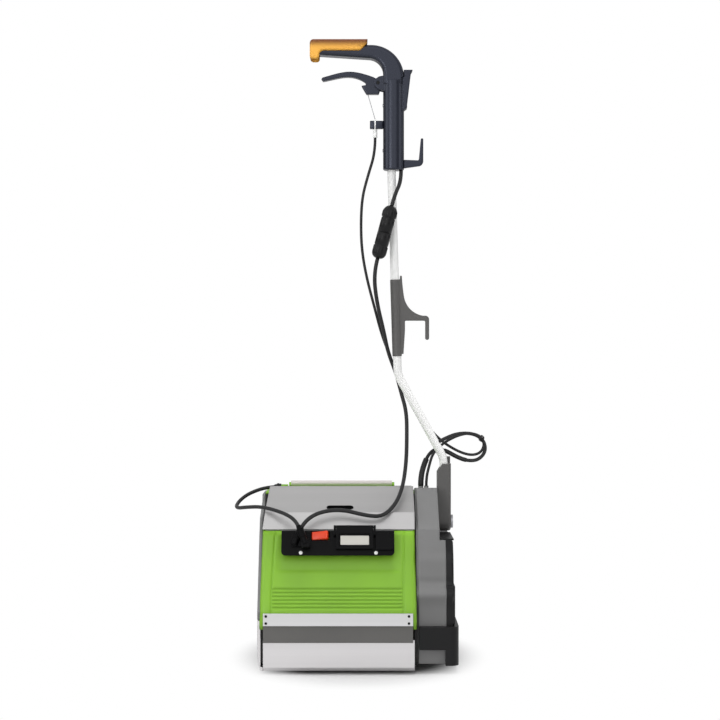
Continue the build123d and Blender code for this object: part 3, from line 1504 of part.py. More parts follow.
# Dark handle housing: an upright barrel that turns over into the grip's neck
barrel_mid = (barrel_x[0] + barrel_x[1]) / 2
lip_z = elbow_z + 5.0
with BuildPart() as handle_housing:
    with BuildSketch(Plane.XZ) as neck_side:
        with BuildLine():
            Polyline(
                (barrel_x[0], elbow_z - 7.0),
                (barrel_x[0], neck_top - neck_depth),
                (neck_left + 12.0, neck_top - neck_tip - 4.0),
                (neck_left, neck_top - neck_tip),
                (neck_left, neck_top),
                (barrel_x[1], neck_top),
                (barrel_x[1], elbow_z - 7.0),
                close=True,
            )
        make_face()
        fillet(neck_side.vertices().group_by(Axis.Y)[-1].sort_by(Axis.X)[-1], neck_turn)
        throat = (barrel_x[0], neck_top - neck_depth, 0)
        fillet(neck_side.vertices().sort_by_distance(throat)[0], throat_turn)
    extrude(amount=neck_half, both=True)
    neck_edges = handle_housing.faces().filter_by(Axis.Y).edges()
    fillet(neck_edges.filter_by(lambda e: e.center().Z > elbow_z), 6.5)
    with BuildSketch(Plane.XY.offset(barrel_low)):
        with Locations((barrel_mid, 0)):
            RectangleRounded(barrel_w, 2 * barrel_half, barrel_round)
    extrude(amount=elbow_z - barrel_low)
    fillet(handle_housing.faces().sort_by(Axis.Z)[0].edges(), barrel_foot)
    with BuildSketch(Plane.XZ):
        with BuildLine():
            Polyline(
                (split_x, barrel_low - 1.0),
                (split_x, lip_z),
                (barrel_x[1] + 2.0, lip_z),
                (barrel_x[1] + 2.0, barrel_low - 1.0),
                close=True,
            )
        make_face()
    extrude(amount=barrel_half + 1.0, both=True, mode=Mode.SUBTRACT)
    with BuildSketch(Plane.XY.offset(barrel_low - 1.0)):
        with Locations((tube_top_x, 0)):
            Circle(tube_r + run_gap)
    extrude(amount=barrel_bite + 6.0, mode=Mode.SUBTRACT)
    for side in (-1, 1):
        cheek_y = side * (lever_half + 0.6 + cheek_t / 2)
        with BuildSketch(Plane.XZ.offset(-cheek_y)):
            with BuildLine():
                Polyline(
                    (barrel_x[0] + 5.0, lever_pivot[1] + 14.0),
                    (lever_pivot[0] + 1.0, lever_pivot[1] + 11.0),
                    (lever_pivot[0] - 7.0, lever_pivot[1] + 5.0),
                    (lever_pivot[0] - 7.0, lever_pivot[1] - 5.0),
                    (lever_pivot[0], lever_pivot[1] - 12.0),
                    (barrel_x[0] + 5.0, lever_pivot[1] - 15.0),
                    close=True,
                )
            make_face()
            with Locations(lever_pivot):
                Circle(3.02, mode=Mode.SUBTRACT)
        extrude(amount=cheek_t / 2, both=True)
    with BuildSketch(Plane.XZ):
        with Locations(grip_pin):
            Circle(3.0)
    extrude(amount=neck_half + grip_gap + grip_pin_bite, both=True)
handle_housing.part.label = "handle_housing"
export_step(handle_housing.part, "parts/handle_housing.step")

# Rear half of the barrel, with the raised block on it
with BuildPart() as housing_cover:
    with BuildSketch(Plane.XY.offset(barrel_low)):
        with Locations((barrel_mid, 0)):
            RectangleRounded(barrel_w, 2 * barrel_half, barrel_round)
    extrude(amount=lip_z - fit_gap - barrel_low)
    fillet(housing_cover.faces().sort_by(Axis.Z)[0].edges(), barrel_foot)
    with BuildSketch(Plane.XY.offset(barrel_low)):
        with Locations((split_x + fit_gap, 0)):
            Rectangle(2 * barrel_w, 4 * barrel_half, align=(Align.MAX, Align.CENTER))
    extrude(amount=lip_z - barrel_low, mode=Mode.SUBTRACT)
    with BuildSketch(Plane.XZ):
        with BuildLine():
            Polyline(
                (split_x + 2.0, lip_z - block_drop),
                (barrel_x[1] + 1.0, lip_z - block_drop + 3.5),
                (barrel_x[1] + 5.3, lip_z - block_drop + 7.0),
                (barrel_x[1] + 5.3, lip_z - block_drop + 11.0),
                (barrel_x[1] + 12.3, lip_z + 8.0),
                (barrel_x[1] + 15.3, lip_z + 13.0),
                (barrel_x[1] - 0.7, lip_z + 13.0),
                (barrel_x[1] + 0.4, lip_z - fit_gap),
                (split_x + 2.0, lip_z - fit_gap),
                close=True,
            )
        make_face()
    extrude(amount=12.0, both=True)
housing_cover.part.label = "housing_cover"
export_step(housing_cover.part, "parts/housing_cover.step")

# Upper lead hook on that half
with BuildPart() as upper_hook:
    with BuildSketch(Plane.XZ):
        with BuildLine():
            FilletPolyline(
                (barrel_x[1], barrel_low + 19.0),
                (barrel_x[1] + 26.9, barrel_low + 18.0),
                (barrel_x[1] + 30.6, barrel_low + 58.0),
                (barrel_x[1] + 34.9, barrel_low + 58.0),
                (barrel_x[1] + 34.9, barrel_low + 9.0),
                (barrel_x[1], barrel_low + 4.0),
                radius=[0.0, 3.0, 2.0, 2.0, 9.0, 0.0],
                close=True,
            )
        make_face()
    extrude(amount=4.0, both=True)
upper_hook.part.label = "upper_hook"
export_step(upper_hook.part, "parts/upper_hook.step")

# Screw heads on the barrel
with BuildPart() as handle_screws:
    for z in (barrel_low + 118.0, barrel_low + 36.0):
        with BuildSketch(Plane.YZ.offset(barrel_x[0] - 1.2)):
            with Locations((0, z)):
                Circle(3.0)
        extrude(amount=1.2)
handle_screws.part.label = "handle_screws"
export_step(handle_screws.part, "parts/handle_screws.step")

# Stop and adjuster of the lever's cable
with BuildPart() as cable_stop:
    with BuildSketch(Plane.XY.offset(stop_z[0])):
        with Locations(((barrel_x[0] + stop_x - 9.5) / 2, 0)):
            Rectangle(barrel_x[0] - stop_x + 9.5, 10.0)
    extrude(amount=stop_z[1] - stop_z[0])
    with BuildSketch(Plane.XY.offset(adjuster_low)):
        with Locations((stop_x, 0)):
            Circle(4.5)
    extrude(amount=adjuster_top - adjuster_low)
cable_stop.part.label = "cable_stop"
export_step(cable_stop.part, "parts/cable_stop.step")

# Lever's pin
with BuildPart() as lever_pin:
    with BuildSketch(Plane.XZ):
        with Locations(lever_pivot):
            Circle(3.0)
    extrude(amount=lever_half + 0.6 + cheek_t, both=True)
lever_pin.part.label = "lever_pin"
export_step(lever_pin.part, "parts/lever_pin.step")

# Water lever with a curved arm and a claw for the cable
claw_low = lever_pivot[1] - 20.0
lever_back = [(-7.7, 10.5), (-27.7, 17.0), (-52.7, 20.6), (-75.7, 17.0), (-100.7, 10.0)]
lever_tip = [lever_back[-1], (-102.7, 7.5), (-99.7, 3.5)]
lever_belly = [lever_tip[-1], (-75.7, 8.5), (-52.7, 11.2), (-35.7, 8.0), (-22.7, 1.0)]
lever_claw = [
    lever_belly[-1],
    (-21.7, -3.5),
    (-29.7, -5.0),
    (-23.7, -15.5),
    (-20.7, -20.0),
    (1.3, -20.0),
    (3.3, -14.0),
    (3.3, 4.0),
    lever_back[0],
]
with BuildPart() as lever:
    with BuildSketch(Plane.XZ):
        with BuildLine():
            Spline(*moved(lever_back, lever_pivot))
            Polyline(*moved(lever_tip, lever_pivot))
            Spline(*moved(lever_belly, lever_pivot))
            Polyline(*moved(lever_claw, lever_pivot))
        make_face()
        with Locations(lever_pivot):
            Circle(8.5)
            Circle(3.0 + run_gap, mode=Mode.SUBTRACT)
    extrude(amount=lever_half, both=True)
lever.part.label = "lever"
export_step(lever.part, "parts/lever.step")

# Orange bar over the grip, open underneath
grip_left = neck_left - 6.0
grip_right = 16.6
nose_drop = 15.5
nose_width = 18.0
grip_slant = 13.0
grip_low = grip_top - grip_depth
grip_half = neck_half + grip_gap + grip_wall
with BuildPart() as grip_cover:
    with BuildSketch(Plane.XZ):
        with BuildLine():
            FilletPolyline(
                (grip_left, grip_low - nose_drop),
                (grip_left + nose_width, grip_low - nose_drop),
                (grip_left + nose_width, grip_low),
                (grip_right - grip_slant, grip_low),
                (grip_right, grip_low + grip_slant),
                (grip_right, grip_top),
                (grip_left, grip_top),
                radius=[7.0, 6.0, 8.0, 8.0, 3.0, 0.0, 7.0],
                close=True,
            )
        make_face()
    extrude(amount=grip_half, both=True)
    fillet(grip_cover.edges().filter_by(Axis.X).group_by(Axis.Z)[-1], 4.5)
    with BuildSketch(Plane.XZ):
        with BuildLine():
            Polyline(
                (grip_left + grip_wall, grip_low - 30.0),
                (grip_right + 5.0, grip_low - 30.0),
                (grip_right + 5.0, grip_top - 3.0),
                (grip_left + grip_wall, grip_top - 3.0),
                close=True,
            )
        make_face()
    extrude(amount=neck_half + grip_gap, both=True, mode=Mode.SUBTRACT)
    with BuildSketch(Plane.XZ):
        with Locations(grip_pin):
            Circle(3.0 + run_gap)
    extrude(amount=neck_half + grip_gap + grip_pin_bite + fit_gap, both=True, mode=Mode.SUBTRACT)
grip_cover.part.label = "grip_cover"
export_step(grip_cover.part, "parts/grip_cover.step")

# In-line connector that hangs beside the tube
connector_top = Vector(tube_top_x - 0.4, -27.0, barrel_low - connector_drop)
connector_dir = Vector(-0.2607, 0, -0.9654).normalized()


def connector_plane(s):
    return Plane(origin=connector_top + connector_dir * s, x_dir=(0, 1, 0), z_dir=connector_dir)


plug_length = 50.0
connector_length = 97.0
with BuildPart() as connector_plug:
    with BuildSketch(connector_plane(0)):
        Circle(9.5)
    with BuildSketch(connector_plane(4.0)):
        Circle(14.0)
    loft()
    with BuildSketch(connector_plane(4.0)):
        Circle(14.0)
    extrude(amount=11.0)
    with BuildSketch(connector_plane(15.0)):
        Circle(12.7)
    extrude(amount=plug_length - 15.0)
connector_plug.part.label = "connector_plug"
export_step(connector_plug.part, "parts/connector_plug.step")

with BuildPart() as connector_socket:
    with BuildSketch(connector_plane(plug_length)):
        Circle(12.7)
    extrude(amount=connector_length - plug_length - 15.0)
    with BuildSketch(connector_plane(connector_length - 15.0)):
        Circle(13.5)
    extrude(amount=11.0)
    with BuildSketch(connector_plane(connector_length - 4.0)):
        Circle(13.5)
    with BuildSketch(connector_plane(connector_length)):
        Circle(9.0)
    loft()
connector_socket.part.label = "connector_socket"
export_step(connector_socket.part, "parts/connector_socket.step")

# Lead from the grip to the connector
connector_low = connector_top + connector_dir * connector_length
lead_upper_points = [
    (77.5, -4.0, barrel_low),
    (77.5, -4.0, barrel_low - 20.0),
    tuple(connector_top - connector_dir * 22.0),
    tuple(connector_top),
]
lead_upper_radii = bend_radii(lead_upper_points)
with BuildPart() as lead_upper:
    with BuildLine() as lead_upper_line:
        FilletPolyline(*lead_upper_points, radius=lead_upper_radii)
    with BuildSketch(Plane(origin=lead_upper_line.line @ 0, z_dir=lead_upper_line.line % 0)):
        Circle(lead_d / 2)
    sweep(path=lead_upper_line.line)
tell_cord("lead_upper", lead_upper_line.line, lead_upper.part, lead_upper_radii, lead_d)
lead_upper.part.label = "lead_upper"
export_step(lead_upper.part, "parts/lead_upper.step")

# Lead from the connector down the tube and over the cover to the switch box
lead_lower_points = [
    tuple(connector_low),
    tuple(connector_low + connector_dir * 28.0),
    (33.0, -22.0, 640.0),
    (46.0, -4.0, 588.0),
    (54.0, 8.0, 549.0),
    (69.0, 18.0, 511.0),
    (78.0, 17.0, 476.0),
    (88.0, 10.0, 440.0),
    (88.0, -8.0, 395.0),
    (86.0, -38.0, 352.0),
    (79.0, -78.0, 312.0),
    (66.0, -112.0, 284.0),
    (43.0, -135.0, 264.0),
    (14.0, -139.0, 266.0),
    (-29.0, -138.0, 277.0),
    (-68.0, -146.0, 273.0),
    tuple(gland_ends[0] + gland_dirs[0] * 17.0),
    tuple(gland_ends[0]),
]
lead_lower_radii = bend_radii(lead_lower_points)
with BuildPart() as lead_lower:
    with BuildLine() as lead_lower_line:
        FilletPolyline(*lead_lower_points, radius=lead_lower_radii)
    with BuildSketch(Plane(origin=lead_lower_line.line @ 0, z_dir=lead_lower_line.line % 0)):
        Circle(lead_d / 2)
    sweep(path=lead_lower_line.line)
tell_cord("lead_lower", lead_lower_line.line, lead_lower.part, lead_lower_radii, lead_d)
lead_lower.part.label = "lead_lower"
export_step(lead_lower.part, "parts/lead_lower.step")

# Lead from the switch box round the left end to the bridge
lead_left_points = [
    tuple(gland_ends[1]),
    tuple(gland_ends[1] + gland_dirs[1] * 17.0),
    (-129.0, -147.0, 272.0),
    (-167.0, -121.0, 280.0),
    (-197.0, -100.0, 277.0),
    (-213.0, -76.0, 273.0),
    (-218.0, -56.0, 275.0),
    (-211.0, -36.0, 285.0),
    (-194.0, -20.0, 296.0),
    (entry_x - 24.0, entry_at[0], entry_at[1]),
    (entry_x, entry_at[0], entry_at[1]),
]
lead_left_radii = bend_radii(lead_left_points)
with BuildPart() as lead_left:
    with BuildLine() as lead_left_line:
        FilletPolyline(*lead_left_points, radius=lead_left_radii)
    with BuildSketch(Plane(origin=lead_left_line.line @ 0, z_dir=lead_left_line.line % 0)):
        Circle(left_lead_d / 2)
    sweep(path=lead_left_line.line)
tell_cord("lead_left", lead_left_line.line, lead_left.part, lead_left_radii, left_lead_d)
lead_left.part.label = "lead_left"
export_step(lead_left.part, "parts/lead_left.step")

# Outer sheath of the lever's cable, down the tube, once round the loop and into the casing
bowden_points = [
    (stop_x, 0.0, adjuster_low),
    (stop_x, 0.0, adjuster_low - 26.6),
    (17.0, -6.0, 868.0),
    (7.0, -8.0, 830.0),
    (4.5, -8.0, 785.0),
    (6.0, -8.0, 735.0),
    (15.0, -6.0, 684.0),
    (30.0, 0.0, 628.0),
    (43.0, 14.0, 580.0),
    (57.0, 26.0, 545.0),
    (72.0, 27.0, 508.0),
    (101.0, 27.0, 455.0),
    (126.0, 28.0, 414.0),
    (151.0, 28.5, 387.0),
    (180.0, 26.5, 368.5),
    (205.0, 24.0, 360.0),
    (223.5, 22.5, 364.0),
    (231.5, 21.5, 379.5),
    (225.0, 20.5, 395.0),
    (208.0, 20.0, 401.5),
    (184.0, 19.5, 398.0),
    (158.0, 18.0, 385.0),
    (136.5, 16.0, 366.0),
    (128.5, 6.0, 341.0),
    (casing_exit[1], 0.0, casing_top + 18.0),
    (casing_exit[1], 0.0, casing_top + 4.0),
]
bowden_radii = bend_radii(bowden_points)
with BuildPart() as bowden_outer:
    with BuildLine() as bowden_line:
        FilletPolyline(*bowden_points, radius=bowden_radii)
    with BuildSketch(Plane(origin=bowden_line.line @ 0, z_dir=bowden_line.line % 0)):
        Circle(bowden_d / 2)
    sweep(path=bowden_line.line)
tell_cord("bowden_outer", bowden_line.line, bowden_outer.part, bowden_radii, bowden_d)
bowden_outer.part.label = "bowden_outer"
export_step(bowden_outer.part, "parts/bowden_outer.step")

# Bare inner wire between the adjuster and the lever's claw
wire_low = Vector(stop_x, 0, adjuster_top + 0.2)
wire_top = Vector(lever_pivot[0] - 18.2, 0, claw_low - 0.4)
with BuildPart() as bowden_inner:
    with BuildSketch(Plane(origin=wire_low, x_dir=(0, 1, 0), z_dir=wire_top - wire_low)):
        Circle(wire_d / 2)
    extrude(amount=(wire_top - wire_low).length)
bowden_inner.part.label = "bowden_inner"
export_step(bowden_inner.part, "parts/bowden_inner.step")

# Lead from the tube's hole once round the loop into the casing
tube_exit = hole_at + hole_dir * (tube_r - 2.5)
tube_lead_points = [
    tuple(tube_exit),
    tuple(tube_exit + hole_dir * 24.0),
    (190.0, 2.0, 402.5),
    (213.0, 5.0, 400.0),
    (229.5, 7.5, 387.5),
    (232.5, 9.5, 368.0),
    (219.5, 12.0, 352.5),
    (200.0, 16.0, 350.5),
    (180.0, 21.0, 357.5),
    (161.0, 25.5, 368.5),
    (143.5, 27.5, 373.0),
    (129.5, 24.0, 363.5),
    (120.0, 13.0, 345.0),
    (casing_exit[0], 0.0, casing_top + 20.0),
    (casing_exit[0], 0.0, casing_top + 4.0),
]
tube_lead_radii = bend_radii(tube_lead_points)
with BuildPart() as tube_lead:
    with BuildLine() as tube_lead_line:
        FilletPolyline(*tube_lead_points, radius=tube_lead_radii)
    with BuildSketch(Plane(origin=tube_lead_line.line @ 0, z_dir=tube_lead_line.line % 0)):
        Circle(tube_lead_d / 2)
    sweep(path=tube_lead_line.line)
tell_cord("tube_lead", tube_lead_line.line, tube_lead.part, tube_lead_radii, tube_lead_d)
tube_lead.part.label = "tube_lead"
export_step(tube_lead.part, "parts/tube_lead.step")
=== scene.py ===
# %% [markdown]
# # Dressing a twin roller cleaning machine
# The machine stands on two bristle rollers under a green body, and a bent tube carries its grip.
# Its construction is already solid geometry, so this lesson gives it its looks: the finish of
# every surface, the leads at their real length, and the small turned and moulded details that a
# plain solid leaves out.

# %% Load the frame
import json
import math

import bmesh
import bpy
from mathutils import Matrix, Vector

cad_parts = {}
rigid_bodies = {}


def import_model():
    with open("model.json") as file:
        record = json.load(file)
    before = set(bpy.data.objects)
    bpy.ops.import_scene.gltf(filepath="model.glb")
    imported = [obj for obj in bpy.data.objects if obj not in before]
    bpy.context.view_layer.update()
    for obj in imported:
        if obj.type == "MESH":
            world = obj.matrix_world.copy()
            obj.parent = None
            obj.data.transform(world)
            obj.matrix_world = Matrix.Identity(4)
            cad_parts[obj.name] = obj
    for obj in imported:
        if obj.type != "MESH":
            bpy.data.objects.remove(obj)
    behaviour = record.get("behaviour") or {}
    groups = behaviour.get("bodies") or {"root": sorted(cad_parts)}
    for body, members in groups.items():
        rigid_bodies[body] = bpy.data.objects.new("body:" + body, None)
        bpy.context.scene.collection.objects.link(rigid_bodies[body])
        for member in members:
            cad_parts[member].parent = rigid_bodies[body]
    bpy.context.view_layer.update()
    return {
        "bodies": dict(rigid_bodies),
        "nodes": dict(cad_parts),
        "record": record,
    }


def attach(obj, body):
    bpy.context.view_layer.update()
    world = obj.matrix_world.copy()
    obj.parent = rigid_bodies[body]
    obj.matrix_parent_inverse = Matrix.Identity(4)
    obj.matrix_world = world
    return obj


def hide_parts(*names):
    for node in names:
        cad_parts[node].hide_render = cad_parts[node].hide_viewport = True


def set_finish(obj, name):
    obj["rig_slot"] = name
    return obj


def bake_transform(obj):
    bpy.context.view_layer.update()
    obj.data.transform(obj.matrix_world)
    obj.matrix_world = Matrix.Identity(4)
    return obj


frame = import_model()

nodes = frame["nodes"]
scene = bpy.context.scene
MM = 0.001
frame_objects = set(nodes.values()) | set(frame["bodies"].values())
for thing in list(bpy.data.objects):
    if thing not in frame_objects:
        bpy.data.objects.remove(thing)

# %% [markdown]
# ## Camera
# The machine was photographed square from the front, with upright lines that stay upright, so the
# camera looks along the floor at half the machine's height. A lens of 77 mm on a 36 mm sensor, 2.8
# m away, gives the same small perspective: the far rim of a lid shows only a little above its near
# rim.

# %% Camera
camera_data = bpy.data.cameras.new("front_camera")
camera_data.sensor_width = 36.0
camera_data.lens = 77.0
camera = bpy.data.objects.new("front_camera", camera_data)
camera.location = (0.003, -2.8, 0.535)
camera.rotation_euler = (math.radians(90.0), 0.0, 0.0)
scene.collection.objects.link(camera)
scene.camera = camera
print("camera height", round(camera.location.z, 3), "lens", camera_data.lens)

# %% [markdown]
# ## Leads and cables
# Six cords run over this machine: the grip's lead with its connector, the lead from the switch box
# round the left end, the lever's cable in its sheath, and a lead that goes through a tied loop
# into the tube. A row of straight tubes would look like bent wire. A NURBS curve takes the route's
# points as control points and gives one smooth line, and a round bevel on that curve gives the
# tube. The same curve with no bevel gives the line itself, which the ties and sleeves further down
# are threaded on.

# %% Helpers for routes
def route_curve(name, points):
    curve = bpy.data.curves.new(name, "CURVE")
    curve.dimensions = "3D"
    curve.resolution_u = 10
    spline = curve.splines.new("NURBS")
    spline.points.add(len(points) - 1)
    for point, place in zip(spline.points, points):
        point.co = (*(Vector(place) * MM), 1.0)
    spline.order_u = 3
    spline.use_endpoint_u = True
    return curve


def curve_mesh(curve):
    holder = bpy.data.objects.new("holder", curve)
    scene.collection.objects.link(holder)
    mesh = bpy.data.meshes.new_from_object(holder)
    bpy.data.objects.remove(holder)
    return mesh


def cord_line(curve):
    curve.bevel_depth = 0.0
    return [vertex.co.copy() for vertex in curve_mesh(curve).vertices]


def line_length(line):
    return sum((b - a).length for a, b in zip(line, line[1:]))


# %% Helpers for tubes
def new_piece(name, mesh, smooth=True):
    piece = bpy.data.objects.new(name, mesh)
    scene.collection.objects.link(piece)
    for face in mesh.polygons:
        face.use_smooth = smooth
    return piece


WELD = 1e-6


def closed_mesh(mesh):
    shell = bmesh.new()
    shell.from_mesh(mesh)
    bmesh.ops.remove_doubles(shell, verts=shell.verts, dist=WELD)
    bmesh.ops.recalc_face_normals(shell, faces=shell.faces)
    shell.to_mesh(mesh)
    shell.free()
    return mesh


def cord_tube(name, curve, diameter, first=0.0, last=1.0):
    curve.bevel_depth = diameter / 2 * MM
    curve.bevel_resolution = 4
    curve.bevel_factor_mapping_start = "SPLINE"
    curve.bevel_factor_mapping_end = "SPLINE"
    curve.use_fill_caps = True
    curve.bevel_factor_start = first
    curve.bevel_factor_end = last
    tube = new_piece(name, closed_mesh(curve_mesh(curve)))
    curve.bevel_factor_start = 0.0
    curve.bevel_factor_end = 1.0
    return tube


# %% [markdown]
# ### Routes
# Each list starts where the cord leaves its housing. The points are in millimetres, in the
# machine's own axes: X along the rollers, Y from front to back, Z up from the floor.

# %% Routes of the cords
routes = {
    "lead_upper": [
        (77.5, -4, 879.5),
        (77.5, -4, 859.5),
        (65.836, -27, 833.239),
        (60.1, -27, 812),
    ],
    "lead_lower": [
        (34.812, -27, 718.354),
        (27.512, -27, 691.323),
        (33, -22, 640),
        (46, -4, 588),
        (54, 8, 549),
        (69, 18, 511),
        (78, 17, 476),
        (88, 10, 440),
        (88, -8, 395),
        (86, -38, 352),
        (79, -78, 312),
        (66, -112, 284),
        (43, -135, 264),
        (14, -139, 266),
        (-29, -138, 277),
        (-68, -146, 273),
        (-93.892, -151.378, 256.505),
        (-100.260, -156.142, 241.480),
    ],
    "lead_left": [
        (-99.740, -167.009, 244.925),
        (-106.108, -162.245, 259.950),
        (-129, -147, 272),
        (-167, -121, 280),
        (-197, -100, 277),
        (-213, -76, 273),
        (-218, -56, 275),
        (-211, -36, 285),
        (-194, -20, 296),
        (-164, 2, 304.479),
        (-140, 2, 304.479),
    ],
    "bowden_outer": [
        (30.5, 0, 938.6),
        (30.5, 0, 912),
        (17, -6, 868),
        (7, -8, 830),
        (4.5, -8, 785),
        (6, -8, 735),
        (15, -6, 684),
        (30, 0, 628),
        (43, 14, 580),
        (57, 26, 545),
        (72, 27, 508),
        (101, 27, 455),
        (126, 28, 414),
        (151, 28.5, 387),
        (180, 26.5, 368.5),
        (205, 24, 360),
        (223.5, 22.5, 364),
        (231.5, 21.5, 379.5),
        (225, 20.5, 395),
        (208, 20, 401.5),
        (184, 19.5, 398),
        (158, 18, 385),
        (136.5, 16, 366),
        (128.5, 6, 341),
        (123.5, 0, 320.5),
        (123.5, 0, 306.5),
    ],
    "tube_lead": [
        (144.897, 0, 385.687),
        (165.915, 0, 397.272),
        (190, 2, 402.5),
        (213, 5, 400),
        (229.5, 7.5, 387.5),
        (232.5, 9.5, 368),
        (219.5, 12, 352.5),
        (200, 16, 350.5),
        (180, 21, 357.5),
        (161, 25.5, 368.5),
        (143.5, 27.5, 373),
        (129.5, 24, 363.5),
        (120, 13, 345),
        (113.5, 0, 322.5),
        (113.5, 0, 306.5),
    ],
    "bowden_inner": [
        (30.5, 0, 972.2),
        (17.5, 0, 1017.1),
    ],
}
diameters = {
    "lead_upper": 7.0,
    "lead_lower": 7.0,
    "lead_left": 6.5,
    "bowden_outer": 5.0,
    "tube_lead": 6.5,
    "bowden_inner": 1.2,
}
print("points", {name: len(points) for name, points in routes.items()})

# %% Cords as tubes
curves = {name: route_curve(name, points) for name, points in routes.items()}
curves["bowden_inner"].splines[0].order_u = 2
lines = {name: cord_line(curve) for name, curve in curves.items()}
cords = {name: cord_tube(name + "_cord", curves[name], diameters[name]) for name in routes}
for name, cord in cords.items():
    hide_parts(name)
    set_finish(cord, "steel" if name == "bowden_inner" else "lead_rubber")
    print(name, "length", round(line_length(lines[name]), 3), "faces", len(cord.data.polygons))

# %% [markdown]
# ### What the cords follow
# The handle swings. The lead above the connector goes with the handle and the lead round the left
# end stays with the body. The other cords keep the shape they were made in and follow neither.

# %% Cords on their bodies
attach(cords["lead_upper"], "handle")
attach(cords["lead_left"], "machine")
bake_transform(cords["lead_lower"])
for name in ("bowden_outer", "tube_lead"):
    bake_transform(cords[name])
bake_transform(cords["bowden_inner"])

# %% [markdown]
# ### Sleeves and a tie on the loop
# Where the lead leaves the casing it is in a thicker sleeve, and another length of sleeve lies
# along the foot of the loop. A part of the same curve with a larger bevel is a sleeve that fits
# exactly. A cable tie holds the two cords together: a ring of edges, pulled out into a band and
# squeezed to an oval.

# %% Sleeves
def share_at(line, place):
    nearest = min(range(len(line)), key=lambda i: (line[i] - Vector(place) * MM).length)
    return line_length(line[: nearest + 1]) / line_length(line)


loop_line = lines["tube_lead"]
sleeves = {
    "casing_sleeve": (10.2, (124, 18, 353), (113.5, 0, 307)),
    "loop_sleeve": (8.0, (196, 17, 351), (158, 26, 370)),
}
for name, (across, *ends) in sleeves.items():
    first, last = (share_at(loop_line, end) for end in ends)
    sleeve = cord_tube(name, curves["tube_lead"], across, first, last)
    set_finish(sleeve, "lead_rubber")
    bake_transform(sleeve)
    print(name, "covers", round((last - first) * line_length(loop_line) / MM), "mm")


# %% Helper that ends a piece
def ended(name, shape, slot, body, smooth=True):
    mesh = bpy.data.meshes.new(name)
    shape.to_mesh(mesh)
    shape.free()
    piece = new_piece(name, mesh, smooth)
    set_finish(piece, slot)
    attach(piece, body)
    return piece


def axes_matrix(place, right, up):
    right, up = Vector(right).normalized(), Vector(up).normalized()
    out = right.cross(up)
    turn = Matrix((right, up, out)).transposed().to_4x4()
    return Matrix.Translation(Vector(place)) @ turn


# %% Cable tie
tie_room, tie_half, tie_width, tie_thick = 4.2 * MM, 4.4 * MM, 3.6 * MM, 1.2 * MM
tie_places = [
    min(lines[name], key=lambda point: (point - Vector(near) * MM).length)
    for name, near in (("bowden_outer", (223, 20, 393)), ("tube_lead", (224, 7, 392)))
]
tie_middle = (tie_places[0] + tie_places[1]) / 2
tie_across = tie_places[1] - tie_places[0]
tie_along = Vector((1.0, 0.0, -0.9))
tie_out = tie_along.cross(tie_across)
tie_shape = bmesh.new()
ring = bmesh.ops.create_circle(tie_shape, segments=36, radius=1.0)["verts"]
bmesh.ops.scale(tie_shape, vec=(tie_across.length / 2 + tie_room, tie_half, 1.0), verts=ring)
band = bmesh.ops.extrude_edge_only(tie_shape, edges=tie_shape.edges[:])["geom"]
band_verts = [item for item in band if isinstance(item, bmesh.types.BMVert)]
bmesh.ops.translate(tie_shape, vec=(0, 0, tie_width), verts=band_verts)
bmesh.ops.recalc_face_normals(tie_shape, faces=tie_shape.faces)
tie_shape.transform(axes_matrix(tie_middle, tie_across, tie_out))
cable_tie = ended("cable_tie", tie_shape, "black_plastic", "handle")
tie_wall = cable_tie.modifiers.new("wall", "SOLIDIFY")
tie_wall.thickness = tie_thick
tie_wall.offset = 1.0
print("tie round", round(tie_across.length / MM, 1), "mm between the cords")

# %% [markdown]
# ## In-line connector
# Halfway down the tube the grip's lead has a round two-part connector, so that the handle can be
# taken off. Each half is a turned body with a domed clamping nut, and the nut has flutes for the
# fingers. A lathe profile spun about the connector's axis gives the turned form, and pressing the
# nut's vertices in on a cosine gives the flutes.

# %% Helper for turned pieces
def turned(name, profile, foot, axis, slot, body, steps=48, flutes=()):
    shape = bmesh.new()
    outline = [shape.verts.new((radius * MM, 0.0, along * MM)) for along, radius in profile]
    edges = [shape.edges.new(pair) for pair in zip(outline, outline[1:])]
    bmesh.ops.spin(
        shape,
        geom=outline + edges,
        cent=(0, 0, 0),
        axis=(0, 0, 1),
        angle=math.tau,
        steps=steps,
        use_merge=True,
    )
    bmesh.ops.remove_doubles(shape, verts=shape.verts, dist=WELD)
    for low, high, count, depth in flutes:
        for vertex in shape.verts:
            if low * MM < vertex.co.z < high * MM:
                around = math.atan2(vertex.co.y, vertex.co.x)
                vertex.co.xy *= 1.0 - depth * max(0.0, math.cos(count * around)) ** 2
    bmesh.ops.recalc_face_normals(shape, faces=shape.faces)
    turn = Vector((0, 0, 1)).rotation_difference(Vector(axis)).to_matrix().to_4x4()
    shape.transform(Matrix.Translation(Vector(foot) * MM) @ turn)
    return ended(name, shape, slot, body)


# %% Connector plug
connector_top = Vector(routes["lead_upper"][-1])
connector_foot = Vector(routes["lead_lower"][0])
connector_axis = (connector_foot - connector_top).normalized()
connector_length = (connector_foot - connector_top).length
plug_length = 50.0
plug_profile = [
    (0.0, 0.0),
    (0.0, 5.6),
    (1.4, 8.0),
    (4.0, 10.4),
    (7.0, 12.4),
    (10.0, 13.6),
    (13.0, 14.0),
    (17.0, 14.0),
    (19.4, 13.7),
    (21.0, 13.0),
    (21.4, 11.8),
    (22.6, 11.6),
    (23.2, 12.4),
    (26.0, 12.7),
    (27.0, 12.2),
    (28.0, 12.7),
    (plug_length, 12.5),
    (plug_length, 0.0),
]
plug = turned(
    "connector_plug_turned",
    plug_profile,
    connector_top,
    connector_axis,
    "black_plastic",
    "handle",
    flutes=[(3.0, 20.0, 8, 0.075), (29.0, 46.0, 16, 0.02)],
)
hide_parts("connector_plug")
print("plug", plug_length, "of", round(connector_length, 1), "mm")

